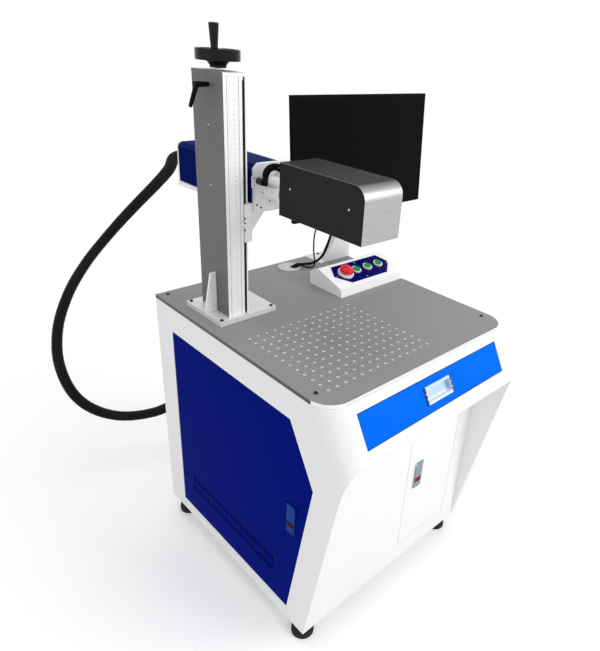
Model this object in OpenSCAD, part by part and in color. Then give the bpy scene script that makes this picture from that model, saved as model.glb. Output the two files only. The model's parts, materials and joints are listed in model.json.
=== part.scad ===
// Laser marking machine: a sheet-metal cabinet on levelling feet with a drilled worktop, a hand-lifted column
// that carries the laser housing and the galvo head, a control box, a monitor on a folded stand and a
// corrugated hose from the housing to the cabinet.
// The machine is modelled about its cabinet's middle and drawn with its origin on the floor, under the middle
// of its bounding box. The operator's side is -Y.

/* [Cabinet] */
// Width of the cabinet and the worktop
cab_w = 650; // [640:5:760]
// Depth of the cabinet's top and the worktop
cab_d = 688; // [680:4:760]
// Height of the cabinet, from its floor pan to the worktop
cab_h = 695; // [680:5:760]
// Height of the levelling feet
foot_h = 63.5; // [55:0.5:90]
// Radius of a levelling foot
foot_r = 30; // [24:1:34]
// Thickness of the sheet metal
sheet = 2; // [1.5:0.25:2.5]
// Thickness of the worktop
table_t = 10; // [8:1:16]
// Radius of the front corners
corner_r = 60; // [50:2:70]
// How far the belly edge stands out in front of the worktop
belly_out = 63; // [56:1:70]
// Depth of the belly edge below the worktop
belly_drop = 110; // [106:1:120]
// How far the foot of the front lies behind the belly edge
toe_in = 102; // [90:1:110]
// Width of the frame round the front recess
wing_w = 25; // [20:1:30]

/* [Hole grid] */
// Holes across the worktop
grid_nx = 14; // [6:1:14]
// Holes along the worktop
grid_ny = 12; // [6:1:12]
// Pitch of the holes
grid_pitch = 25; // [20:1:25]
// Radius of a hole
grid_r = 3; // [2:0.5:4]
// Distance from the worktop's left edge to the first column of holes
grid_left = 53.5; // [46:0.5:60]
// Distance from the worktop's front edge to the first row of holes
grid_front = 56; // [50:1:66]

/* [Doors] */
// Distance from the recess's right edge to the front door
door_side = 63; // [50:1:80]
// Width of the front door
door_w = 207; // [190:1:230]
// Height of the front door's lower edge above the cabinet's floor pan
door_up = 60; // [50:1:70]
// Distance from the front door's upper edge to the top of the recess
door_down = 35.5; // [30:0.5:60]
// Gap round each door
door_gap = 1.5; // [1:0.25:2]
// Depth of the doors' folded edges
rim_d = 15; // [10:1:18]
// Width of a door latch
latch_w = 28; // [24:1:32]
// Length of a door latch
latch_l = 84; // [76:1:92]
// Side doors: margin at the rear
side_rear = 81; // [70:1:95]
// Side doors: margin at the bottom
side_low = 40.5; // [36:0.5:50]
// Side doors: margin at the top
side_top = 71.5; // [65:0.5:80]
// Side doors: margin behind the round of the apron
side_apron = 94; // [86:1:105]
// Side doors: margin behind the lower front
side_front = 76; // [70:1:85]
// Vent slots in each of the two rows
vent_n = 36; // [10:1:38]
// Distance from the rows of vent slots to the side door's rear edge
vent_rear = 60.5; // [50:0.5:80]
// Distance from the rows of vent slots to the side door's front edge
vent_front = 55.5; // [50:0.5:80]
// Width of a vent slot
vent_w = 5; // [3:0.5:6]
// Height of a vent slot
vent_h = 20; // [14:1:24]

/* [Drawer] */
// Distance from the drawer front's edge to the round of the apron
drawer_side = 12.5; // [6:0.5:30]
// Height of the drawer front along the slope
drawer_h = 78; // [74:1:84]
// Distance from the worktop down the slope to the drawer front
drawer_down = 24; // [22:1:28]
// Length of the drawer's tray
tray_l = 370; // [320:5:400]
// How far the tray's side lies behind the drawer front's edge
tray_in = 22.5; // [20:0.5:40]
// Height of the drawer's tray
tray_h = 50; // [44:1:52]
// Width of the recessed pull
pull_w = 100; // [80:2:130]
// Height of the recessed pull
pull_h = 42; // [36:1:46]

/* [Column] */
// Distance from the cabinet's left side to the middle of the column
col_in = 94; // [90:1:100]
// Distance from the worktop's rear edge to the middle of the column
col_fore = 193; // [186:1:200]
// Width of the column
col_w = 58; // [56:1:64]
// Depth of the column
col_d = 122; // [116:1:128]
// Height of the column
col_h = 550; // [530:5:600]
// Wall of the column
col_wall = 8; // [7:0.5:10]
// Width of the base plate
base_w = 168; // [160:2:180]
// Depth of the base plate
base_d = 160; // [150:2:180]
// Thickness of the base plate
base_t = 12; // [10:1:14]
// Thickness of the cap plate
cap_t = 7.5; // [6:0.5:10]
// Radius of the lead screw
screw_r = 8; // [7:0.5:9]
// Radius of the handwheel
wheel_r = 48; // [46:1:60]
// Distance from the handwheel's rim to the crank handle's middle
crank_in = 12; // [11:0.5:14]
// Length of the crank handle
crank_l = 57; // [50:1:64]

/* [Laser] */
// Height of the slider's lower edge above the worktop
slider_up = 198; // [180:1:215]
// Height of the slider
slider_h = 92; // [84:1:100]
// Width and height of the laser housing
house_w = 102; // [96:1:106]
// Length of the laser housing behind its flange
house_l = 331; // [300:1:350]
// Wall of the laser housing
house_wall = 4; // [3:0.5:6]
// Chamfer on the housing's long top edges
house_bevel = 11; // [8:1:14]
// Thickness of the housing's front flange
flange_t = 10; // [8:1:12]
// Height of the beam above the shelf
beam_up = 48; // [46:1:52]
// Radius of the beam tube
tube_r = 28; // [24:1:30]
// Length of the beam tube
tube_l = 58; // [50:1:66]
// Width of the head cover
head_w = 112; // [106:1:120]
// Length of the head cover
head_l = 265; // [250:1:280]
// Height of the head cover
head_h = 119; // [112:1:126]
// Radius of the head cover's front edge
head_r = 30; // [24:1:36]
// Wall of the head cover
head_wall = 2.5; // [2:0.25:3]
// Radius of the scan lens
lens_r = 35; // [30:1:38]

/* [Control box] */
// Distance from the control box to the worktop's right edge
box_side = 2; // [0:0.5:10]
// Width of the control box
box_w = 255.5; // [250:0.5:256]
// Distance from the control box's front to the worktop's rear edge
box_fore = 315; // [305:1:325]
// Depth of the control box
box_d = 134; // [128:1:140]
// Height of the control box's front
box_front_h = 24; // [22:1:28]
// Height of the control box's crest
box_crest_h = 55; // [50:1:60]
// Radius of the emergency stop's mushroom
stop_r = 20; // [18:0.5:21]
// Radius of a push button's bezel
bezel_r = 14.75; // [13:0.25:16]

/* [Monitor] */
// Width of the monitor
mon_w = 540; // [500:5:560]
// Height of the monitor
mon_h = 332; // [310:2:350]
// Thickness of the monitor's panel
mon_t = 14; // [12:1:18]
// Distance from the monitor's middle to the worktop's right edge
mon_side = 35; // [25:1:40]
// Distance from the monitor's front face to the worktop's rear edge
mon_fore = 160; // [154:1:164]
// Height of the monitor's lower edge above the worktop
mon_up = 180; // [170:1:195]
// Backward tilt of the monitor
mon_tilt = 4; // [0:0.5:6]
// Width of the stand's web at its foot
stand_w = 116; // [110:2:130]
// Forward lean of the stand's web
stand_lean = 15; // [12:0.5:16]
// Radius of the cable grommet
grommet_r = 36; // [32:1:40]

/* [Hose] */
// Outer radius of the corrugated hose
hose_r = 17.25; // [15:0.25:18]
// Bore radius of the corrugated hose
hose_bore_r = 12.5; // [10:0.5:12.5]
// Depth of a rib
rib_d = 2; // [1:0.25:2.25]
// Pitch of the ribs
rib_pitch = 10.5; // [10.5:0.5:14]

/* [Hidden] */
$fn = 64;

// Overrun of every cut, running gap, seating gap and sliding gap
over = 1;
run_gap = 0.05;
seat_gap = 0.3;
slide_gap = 0.4;

// Main heights and planes of the cabinet
cab_top = foot_h + cab_h;
table_z = cab_top + table_t;
front_y = -cab_d / 2;
rear_y = cab_d / 2;
side_x = cab_w / 2;
belly_y = front_y - belly_out;
belly_z = cab_top - belly_drop;
toe_y = belly_y + toe_in;
apron_share = belly_out / belly_drop;
lower_share = toe_in / (belly_z - foot_h);
apron_angle = atan(apron_share);
lower_angle = atan(lower_share);
lower_skin = sheet / cos(lower_angle);
recess_x = side_x - wing_w;
soffit_z = belly_z - wing_w * cos(lower_angle);
door_y = toe_y;
inner_x = side_x - sheet;
slice = 0.01;
// Flats of a round corner of the apron
corner_flats = 12;
// Middle of the hole grid
grid_x = grid_left - side_x + (grid_nx - 1) / 2 * grid_pitch;
grid_y = front_y + grid_front + (grid_ny - 1) / 2 * grid_pitch;

// The apron's plane, the tangent line of its round corners and the lower front plane, as y at a height z
function apron_y(z) = front_y - (cab_top - z) * apron_share;
function round_y(z) = apron_y(z) + corner_r;
function lower_y(z) = toe_y - (z - foot_h) * lower_share;
// Height where the tangent line moved back by a meets the lower front plane moved back by b
function meet_z(a, b) =
    (toe_y + b + foot_h * lower_share - front_y + cab_top * apron_share - corner_r - a)
    / (apron_share + lower_share);
cheek_z = meet_z(0, 0);
cheek_in_z = meet_z(0, lower_skin);

// Feet
foot_in = 40;
foot_back = 45;
foot_x = side_x - foot_in;
foot_front_y = toe_y + foot_back;
foot_rear_y = rear_y - foot_r;
foot_spots = [[-foot_x, foot_front_y], [foot_x, foot_front_y], [-foot_x, foot_rear_y], [foot_x, foot_rear_y]];
stud_r = 6;
foot_boss_r = 14;
foot_boss_h = 10;
foot_pad_h = 12;
foot_neck_h = 22;
foot_neck_r = 13;
foot_nut_h = 10;

// Side doors
side_top_z = cab_top - side_top;
side_low_z = foot_h + side_low;
side_knee_z = meet_z(side_apron, side_front);
side_hinge_in = 8;
hinge_deep = 4;
hinge_r = 2;
hinge_lug = 9;
hinge_tab = 12;
hinge_pin_out = 8;
side_pin_y = rear_y - side_rear - side_hinge_in;
vent_up = 76;
vent_row_z = side_low_z + vent_up;
vent_row_step = 34;
vent_front_y = lower_y(side_low_z) + side_front + vent_front;
vent_pitch = (rear_y - side_rear - vent_rear - vent_w - vent_front_y) / (vent_n - 1);
side_latch_in = 35;
side_latch_up = 266;
side_latch_z = side_low_z + side_latch_up;
side_latch_y = lower_y(side_latch_z) + side_front + side_latch_in;

// Front door
door_x = recess_x - door_side - door_w;
door_z = foot_h + door_up;
door_h = soffit_z - door_down - door_z;
door_pin_x = door_x + door_w - side_hinge_in;
front_latch_in = 43.5;
front_latch_up = 194;
front_latch_x = door_x + front_latch_in;
front_latch_z = door_z + front_latch_up;

// Latches
latch_t = 4;
latch_pin_r = 1.5;
latch_barrel_r = 2.2;
latch_ear_w = 3;
latch_lift = seat_gap + latch_barrel_r;

// Drawer
drawer_w = cab_w - 2 * (corner_r + drawer_side);
drawer_mid = drawer_down + drawer_h / 2;
drawer_mid_z = cab_top - drawer_mid * cos(apron_angle);
drawer_gap = 1.5;
tray_drop = 1;
tray_fore = 1;
tray_w = drawer_w - 2 * tray_in;
tray_low_z = drawer_mid_z - tray_h / 2 - tray_drop;
tray_front_y = front_y - tray_fore;
tray_rear_y = tray_front_y + tray_l;
rail_h = 16;
rail_w = 10;
rail_wall = 1.5;
rail_front = 10;
slide_x = tray_w / 2 + rail_w + slide_gap;
slide_half_h = rail_h / 2 + slide_gap;
pull_deep = 12;
pull_rim = 7;
pull_lip = 2;

// Column
col_x = col_in - side_x;
col_y = rear_y - col_fore;
col_z = table_z + base_t;
col_top = col_z + col_h;
col_left = col_x - col_w / 2;
col_right = col_x + col_w / 2;
col_front = col_y - col_d / 2;
col_rear = col_y + col_d / 2;
lip_slot_w = 5;
lip_slot_in = 4;
lip_slot_d = 6;
nut_slot_w = 30;
line_d = 1;
line_spots = [-20.5, 9.5];
base_left = 33;
base_back = 6;
base_x = col_left - base_left;
base_y = col_y - base_d / 2 + base_back;
cap_over = 0.5;
journal_r = 6;
pivot_r = 5;
pivot_d = 8;
gusset_t = 6;
gusset_h = 103;
gusset_top_w = 15;
clamp_fore = 5;
clamp_drop = 20;
clamp_y = col_y - clamp_fore;
clamp_z = col_top - clamp_drop;
clamp_r = 6;
clamp_foot_r = 4.5;
clamp_head_l = 14;
clamp_out = 34;
clamp_stud_r = 3;
lever_l = 53;
lever_r = 5.5;
lever_end_r = 4.3;
lever_angle = 32;
mark_r = 2.5;
mark_drops = [103, 235];

// Handwheel, as heights above the column's cap
wheel_hub_up = 5;
wheel_low_up = 19;
wheel_high_up = 42;
wheel_web_up = 33;
wheel_neck_up = 9.5;
wheel_hub_r = 18;
wheel_neck_r = 25.5;
wheel_boss_r = 12;
wheel_rim_w = 4.5;
wheel_round = 2;
wheel_skin = 3;
crank_r = wheel_r - crank_in;
crank_angle = 227;
crank_pin_r = 3.5;
crank_base_r = 6.5;
crank_top_r = 10.6;
crank_round = 3;
crank_skin = 4;
cap_top_z = col_top + cap_t;

// Slider and bracket
slider_z = table_z + slider_up;
slider_x = col_right + seat_gap;
slider_t = 6;
lip_t = 4;
lip_reach = 10.5;
bracket_t = 6;
bracket_x = slider_x + slider_t;
house_x = bracket_x + bracket_t;
shelf_t = 10;
shelf_drop = 25;
shelf_z = slider_z + slider_h - shelf_drop;
house_z = shelf_z + shelf_t;
flange_fore = 11;
flange_y = col_front - flange_fore;
house_y = flange_y + flange_t;
house_end = house_y + house_l;
rear_plate_t = 5.5;
rib_t = 6;
rib_w = 41;
rib_h = 44;
nut_h = 30;
nut_w = 28;
nut_arm = 24;
nut_z = slider_z + slider_h / 2;
pointer_w = 16;
pointer_h = 14;
pointer_t = 1.5;

// Housing
house_mid_x = house_x + house_w / 2;
beam_in = 1.5;
beam_x = house_mid_x - beam_in;
beam_z = house_z + beam_up;
hose_drop = 1;
hose_z = beam_z - hose_drop;
flange_low = 5;
flange_high = 5;
flange_bevel = 12;
ring_r = 34;
ring_t = 3;
tube_bore_r = 18;
gland_r = 8;
gland_l = 20;
gland_in = 11;
gland_up = 20;
gland_x = house_x + gland_in;
gland_z = beam_z + gland_up;
module_gap = 15;
module_h = 72;
hose_stub_r = 13;
hose_ring_r = 20;
hose_ring_l = 10;
gland_wall = 2;

// Galvo head
head_y = flange_y - ring_t - tube_l;
head_left = 25.5;
head_up = 1;
head_x = beam_x - head_left;
head_z = house_z + head_up;
head_top = head_z + head_h;
head_front = head_y - head_l;
mirror_gap = 31.5;
lens_x = beam_x + mirror_gap;
lens_in = 96.5;
lens_y = head_front + lens_in;
plate_t = 8;
rear_wall_t = 10;
galvo_half_h = 20;
galvo_low_z = beam_z - galvo_half_h;
galvo_high_z = beam_z + galvo_half_h;
galvo_margin = 17;
galvo_half_d = 35;
beam_bore_r = 10;
motor_r = 13;
motor_l = 42;
motor_l_x = 40;
motor_flange_r = 16;
motor_flange_t = 3;
mirror_w = 14;
mirror_h = 16;
mirror_t = 1.6;
mirror_shaft_r = 2;
mirror_shaft_l = 22;
lens_flange_r = 39;
lens_flange_t = 4;
lens_glass_r = 29;
lens_glass_d = 3;
lens_up = 26;
cover_seam_up = 64;
cover_seam_z = head_z + cover_seam_up;
cover_seam_d = 0.6;

// Control box
box_x = side_x - box_side - box_w;
box_y = rear_y - box_fore;
box_z = table_z;
box_crest_y = 101;
box_rear_h = 38;
box_lean = 4;
box_wall = 1.5;
box_angle = atan((box_crest_h - box_front_h) / (box_crest_y - box_lean));
panel_t = 2;
panel_low = 13;
panel_high = 91.6;
// Corners of the control plate, across the box and up from the plate's lower to its upper edge
plate_shares = [[0.159, 1], [0.883, 1], [0.953, 0.547], [0.937, 0.42], [0.797, 0], [0.225, 0], [0.082, 0.509]];
stop_in = 63.5;
stop_x = box_x + stop_in;
stop_l = 52;
button_in = 109.5;
button_step = 46;
button_xs = [for (k = [0 : 2]) box_x + button_in + k * button_step];
button_l = 54;
port_r = 11.2;
barrel_r = 11;
barrel_l = 18;
cap_r = 10.2;
cap_gap = 0.3;
bezel_h = 4;
button_out = 3;
button_stem_r = 5;
collar_r = 24;
collar_h = 5;
stop_stem_r = 8;
stop_neck = 7;
stop_cap_h = 12;
stop_crown = 2;

// Monitor and stand
mon_x = side_x - mon_side;
mon_y = rear_y - mon_fore;
mon_z = table_z + mon_up;
mon_back_w = 300;
mon_back_t = 26;
mon_back_z = 20;
mon_back_h = 190;
bezel_w = 9;
bezel_low = 17;
screen_d = 0.8;
stand_t = 3;
stand_fore = 78;
stand_left = 20;
stand_y = rear_y - stand_fore;
stand_x = mon_x - stand_left;
foot_plate_w = 136;
foot_plate_left = 70;
foot_plate_x = stand_x - foot_plate_left;
foot_plate_l = 77;
web_taper_share = 0.3;
neck_w = 60;
flange_d = 22;
vesa_w = 120;
vesa_h = 130;
vesa_pitch = 100;
vesa_hole_r = 2.5;
stand_top_z = (stand_y + table_z * tan(stand_lean) - mon_y - (mon_t + mon_back_t) / cos(mon_tilt)
    + mon_z * tan(mon_tilt)) / (tan(stand_lean) + tan(mon_tilt));
stand_top_y = stand_y - (stand_top_z - table_z) * tan(stand_lean);
web_l = (stand_top_z - table_z) / cos(stand_lean);
taper_l = (stand_w - neck_w) / 2 / web_taper_share;

// Screws
bolt_r = 2.5;
bolt_head_r = 4.6;
bolt_head_h = 3;
bolt_l = 9;
table_bolt_side = 26;
table_bolt_back = 65;
table_bolt_fore = 20;
table_bolt_x = side_x - table_bolt_side;
table_bolt_front = front_y + table_bolt_back;
table_bolt_rear = rear_y - table_bolt_fore;
base_bolt_in = 9;
stand_bolt_out = 23;
stand_bolt_in = 12;
stand_bolt_y = stand_y + foot_plate_l - stand_bolt_in;
// The stand's own screws hold the fourth corner
table_bolts = [[-table_bolt_x, table_bolt_front], [-table_bolt_x, table_bolt_rear],
    [table_bolt_x, table_bolt_front]];
base_bolts = [for (x = [base_x + base_bolt_in, base_x + base_w - base_bolt_in])
    for (y = [base_y + base_bolt_in, base_y + base_d - base_bolt_in]) [x, y]];
stand_bolts = [for (s = [-1, 1]) [stand_x + s * stand_bolt_out, stand_bolt_y]];

// Grommet and monitor cables
grommet_side = 229;
grommet_fore = 51;
grommet_x = side_x - grommet_side;
grommet_y = rear_y - grommet_fore;
grommet_sleeve_r = 30;
grommet_t = 3;
grommet_wall = 2.5;
grommet_slot_r = 13;
grommet_slot_x = 12;
grommet_slot_y = -8;

// Rear glands
hose_end_in = 205;
hose_end_up = 239.5;
hose_end_x = hose_end_in - side_x;
hose_end_z = foot_h + hose_end_up;
mains_in = 25;
mains_up = 151.5;
mains_x = mains_in - side_x;
mains_z = foot_h + mains_up;
mains_r = 9;
mains_l = 22;
mains_bore_r = 4.5;

// Inside the cabinet
source_size = [240, 430, 180];
source_in = 60;
source_back = 115;
source_spot = [source_in - side_x, toe_y + source_back];
computer_size = [180, 420, 360];
computer_in = 93;
computer_back = 25;
computer_spot = [side_x - computer_in - computer_size.x, door_y + computer_back];

// Routes, from face to face, about the cabinet's middle
hose_route = [[house_mid_x, house_end + rear_plate_t + hose_ring_l, hose_z], [house_mid_x, 470, hose_z],
    [-125, 565, 1070], [-100, 650, 1020], [-100, 735, 960], [-140, 825, 870], [-205, 900, 765],
    [-300, 905, 670], [-385, 865, 590], [-450, 815, 495], [-480, 750, 405], [-455, 705, 290],
    [-360, 670, 200], [-240, 615, 190], [-165, 560, 235], [-125, 465, 290], [hose_end_x, 390, hose_end_z],
    [hose_end_x, rear_y + hose_ring_l, hose_end_z]];
// The monitor's cables, from the middle of the grommet at the worktop's face
grommet_spot = [grommet_x, grommet_y, table_z];
power_route = [for (p = [[7, -6, -33.5], [7, -6, -4.5], [12, -7, 5.5], [24, -10, 8.5], [38, -13, 7],
    [54, -15, 5.5], [71, -23, 6.5], [83, -35, 16.5], [94, -46, 33.5], [101, -55, 61.5], [107, -64, 100.5],
    [110, -75, 146.5], [110, -80, 176.5], [110, -80, 197.5]]) grommet_spot + p];
signal_route = [for (p = [[14, -12, -33.5], [14, -12, -4.5], [16, -14, 5], [24, -22, 8.5], [34, -31, 6],
    [46, -41, 3.5], [58, -46, 5.5], [62, -47, 16.5], [57, -48, 41.5], [50, -52, 82.5], [46, -63, 129.5],
    [54, -76, 161.5], [69, -81, 179.5], [72, -82, 197.5]]) grommet_spot + p];
// The galvo cables, from the middle of the flange gland's face to the rear of the head
gland_spot = [gland_x, flange_y - gland_l, gland_z];
galvo_route_a = [for (p = [[0, 0, 4], [0, -10, 4], [-6, -17, 19], [-1, -18, 34], [16, -20, 41], [33, -22, 37],
    [42, -28, 28], [44, -34, 24.5], [44, -41, 24.5]]) gland_spot + p];
galvo_route_b = [for (p = [[0, 0, -4], [0, -10, -4], [5, -17, 6], [7, -18, 21], [15, -20, 29.5], [24, -23, 27],
    [29, -29, 21], [30, -34, 19.5], [30, -41, 19.5]]) gland_spot + p];
power_r = 4;
power_step = 20;
signal_r = 2.3;
signal_step = 14;
galvo_cable_r = 3.8;
galvo_step = 5;
hose_bore_step = 25;

// The machine's middle, so that the origin lies under the middle of its bounding box
latch_out = seat_gap + 2 * latch_barrel_r;
mid_x = (mon_x + mon_w / 2 - side_x - latch_out) / 2;
mid_y = (belly_y + house_end + rear_plate_t + hose_ring_l) / 2;

module place() {
    translate([-mid_x, -mid_y, 0]) children();
}

// A flat outline in Y and Z, drawn out along X from x0 to x1
module along_x(x0, x1) {
    translate([x0, 0, 0]) rotate([90, 0, 90]) linear_extrude(x1 - x0) children();
}

// A flat outline in X and Z, drawn out along Y from y0 to y1
module along_y(y0, y1) {
    translate([0, y1, 0]) rotate([90, 0, 0]) linear_extrude(y1 - y0) children();
}

// A cylinder along Y from y0 to y1
module rod_y(x, z, r, y0, y1) {
    translate([x, y1, z]) rotate([90, 0, 0]) cylinder(r = r, h = y1 - y0);
}

// A block between two corners
module block(a, b) {
    translate(a) cube(b - a);
}

// Local frames on the apron: x across, y up the slope, z outwards, from a height z
module on_apron(z) {
    translate([0, apron_y(z), z]) rotate([90 - apron_angle, 0, 0]) children();
}

// Smooth curve through route points: tangents, one span and the whole line
function unit(v) = v / norm(v);
function route_dir(p, i) =
    i <= 1 ? unit(p[1] - p[0])
    : i >= len(p) - 2 ? unit(p[len(p) - 1] - p[len(p) - 2])
    : unit(unit(p[i] - p[i - 1]) * norm(p[i + 1] - p[i]) + unit(p[i + 1] - p[i]) * norm(p[i] - p[i - 1]));
function span_point(p, i, u) =
    let (d = norm(p[i + 1] - p[i]), a = u * u * u, b = u * u)
    (2 * a - 3 * b + 1) * p[i] + (a - 2 * b + u) * d * route_dir(p, i)
    + (3 * b - 2 * a) * p[i + 1] + (a - b) * d * route_dir(p, i + 1);
function route_line(p, step) = concat(
    [for (i = [0 : len(p) - 2]) let (n = max(1, round(norm(p[i + 1] - p[i]) / step)))
        for (k = [0 : n - 1]) span_point(p, i, k / n)],
    [p[len(p) - 1]]);
// Directions along a line of points, and side vectors carried along it without twist
function line_dirs(q) = [for (i = [0 : len(q) - 1])
    i == 0 ? unit(q[1] - q[0])
    : i == len(q) - 1 ? unit(q[i] - q[i - 1])
    : unit(unit(q[i] - q[i - 1]) + unit(q[i + 1] - q[i]))];
function square_to(v, t) = unit(v - (v * t) * t);
function line_sides(t) = [for (i = 0, s = square_to([0, 0, 1] + [0.1, 0, 0], t[0]); i < len(t);
    i = i + 1, s = i < len(t) ? square_to(s, t[i]) : s) s];
function ring_points(c, t, s, r, sides) = [for (k = [0 : sides - 1]) let (w = 360 * (k + 0.5) / sides)
    c + r * (cos(w) * s + sin(w) * cross(t, s))];
// Side faces between ring i and ring i + 1, whose points start at index a
function band(a, sides) = [for (k = [0 : sides - 1]) let (m = (k + 1) % sides)
    each [[a + k, a + m, a + sides + m], [a + k, a + sides + m, a + sides + k]]];
function flip(f) = [for (t = f) [t[2], t[1], t[0]]];

// A plain tube of one radius along a route
module cable(route, r, step, sides) {
    q = route_line(route, step);
    t = line_dirs(q);
    s = line_sides(t);
    n = len(q);
    points = [for (i = [0 : n - 1]) each ring_points(q[i], t[i], s[i], r, sides)];
    start = [for (k = [1 : sides - 2]) [0, k + 1, k]];
    last = (n - 1) * sides;
    stop = [for (k = [1 : sides - 2]) [last, last + k, last + k + 1]];
    walls = [for (i = [0 : n - 2]) each band(i * sides, sides)];
    polyhedron(points, flip(concat(walls, start, stop)));
}

// A ribbed tube with a bore along a route: crests and roots take turns, and each end is a flat ring
module ribbed_hose(route, r, rib, pitch, bore_r, sides, bore_step) {
    q = route_line(route, pitch / 2);
    t = line_dirs(q);
    s = line_sides(t);
    n = len(q);
    w = route_line(route, bore_step);
    wt = line_dirs(w);
    ws = line_sides(wt);
    m = len(w);
    outer = [for (i = [0 : n - 1]) each ring_points(q[i], t[i], s[i], r - rib * (i % 2), sides)];
    inner = [for (i = [0 : m - 1]) each ring_points(w[i], wt[i], ws[i], bore_r, sides)];
    walls = [for (i = [0 : n - 2]) each band(i * sides, sides)];
    bore = [for (i = [0 : m - 2]) each flip(band((n + i) * sides, sides))];
    base = n * sides;
    last = (n - 1) * sides;
    base_last = (n + m - 1) * sides;
    start = [for (k = [0 : sides - 1]) let (j = (k + 1) % sides)
        each [[j, k, base + k], [j, base + k, base + j]]];
    stop = [for (k = [0 : sides - 1]) let (j = (k + 1) % sides)
        each [[last + k, last + j, base_last + j], [last + k, base_last + j, base_last + k]]];
    polyhedron(concat(outer, inner), flip(concat(walls, bore, start, stop)));
}

// The apron's body with its leaning round corners, its walls moved in by inset and its rear moved back by back
module apron_body(inset, back, z0, z1) {
    r = corner_r - inset;
    arc = [for (k = [0 : corner_flats]) let (a = 90 * k / corner_flats)
        [side_x - corner_r + r * cos(a), -r * sin(a) * cos(apron_angle)]];
    translate([0, round_y(z0), z0]) rotate([-apron_angle, 0, 0]) linear_extrude((z1 - z0) / cos(apron_angle))
        polygon(concat(arc, [for (k = [0 : corner_flats]) let (p = arc[corner_flats - k]) [-p.x, p.y]],
            back > 0 ? [[inset - side_x, back], [side_x - inset, back]] : []));
}

// Side outline of the cabinet behind the lower front plane, moved back by skin
module side_outline(skin) {
    polygon([[rear_y, foot_h], [lower_y(foot_h) + skin, foot_h],
        [lower_y(meet_z(0, skin)) + skin, meet_z(0, skin)],
        [round_y(cab_top), cab_top], [rear_y, cab_top]]);
}

// Outline of a side door, grown by g
module side_door_outline(g) {
    top = side_top_z + g;
    low = side_low_z - g;
    polygon([[rear_y - side_rear + g, top], [round_y(top) + side_apron - g, top],
        [lower_y(side_knee_z) + side_front - g, side_knee_z],
        [lower_y(low) + side_front - g, low], [rear_y - side_rear + g, low]]);
}

module cabinet_base() place() color("gainsboro") difference() {
    union() {
        block([-inner_x, toe_y + lower_skin, foot_h], [inner_x, rear_y - sheet, foot_h + sheet]);
        for (p = foot_spots)
            translate([p.x, p.y, foot_h]) cylinder(r = foot_boss_r, h = foot_boss_h);
    }
    for (p = foot_spots)
        translate([p.x, p.y, foot_h - over]) cylinder(r = stud_r + run_gap, h = foot_boss_h + 2 * over);
}

// One side sheet, drawn for the left side: the door's opening, and two tabs with the bores of its hinge pins
module cabinet_side() {
    difference() {
        union() {
            along_x(-side_x, -inner_x) side_outline(lower_skin);
            for (z = [side_top_z + door_gap + seat_gap, side_low_z - door_gap - seat_gap - hinge_tab])
                block([-side_x + sheet, side_pin_y - hinge_tab / 2, z],
                    [-side_x + sheet + hinge_lug, side_pin_y + hinge_tab / 2, z + hinge_tab]);
        }
        along_x(-side_x - over, -inner_x + over) side_door_outline(door_gap);
        translate([-side_x + hinge_deep, side_pin_y, side_low_z - door_gap - seat_gap - hinge_tab - over])
            cylinder(r = hinge_r + run_gap,
                h = side_top_z - side_low_z + 2 * (door_gap + seat_gap + hinge_tab + over));
    }
}

module cabinet_side_left() place() color("gainsboro") cabinet_side();

module cabinet_side_right() place() color("gainsboro") mirror([1, 0, 0]) cabinet_side();

module rear_panel() place() color("gainsboro") difference() {
    block([-inner_x, rear_y - sheet, foot_h], [inner_x, rear_y, cab_top]);
    rod_y(hose_end_x, hose_end_z, hose_stub_r, rear_y - sheet - over, rear_y + over);
    rod_y(mains_x, mains_z, mains_r - gland_wall, rear_y - sheet - over, rear_y + over);
}

module front_apron() place() color("gainsboro") difference() {
    apron_body(0, 0, cheek_z - corner_r, cab_top + over);
    apron_body(sheet, over, cheek_z - corner_r - over, cab_top + 2 * over);
    // Above the worktop's underside
    block([-cab_w, -cab_d, cab_top], [cab_w, rear_y, cab_top + cab_h]);
    // In front of the lower plane's inner face
    along_x(-side_x - over, side_x + over) polygon([[lower_y(foot_h) + lower_skin, foot_h],
        [lower_y(cab_top) + lower_skin, cab_top], [lower_y(cab_top) - cab_d, cab_top],
        [lower_y(cab_top) - cab_d, foot_h]]);
    // Drawer opening
    on_apron(drawer_mid_z)
        translate([-drawer_w / 2 - drawer_gap, -drawer_h / 2 - drawer_gap, -corner_r])
            cube([drawer_w + 2 * drawer_gap, drawer_h + 2 * drawer_gap, 2 * corner_r]);
}

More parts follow.
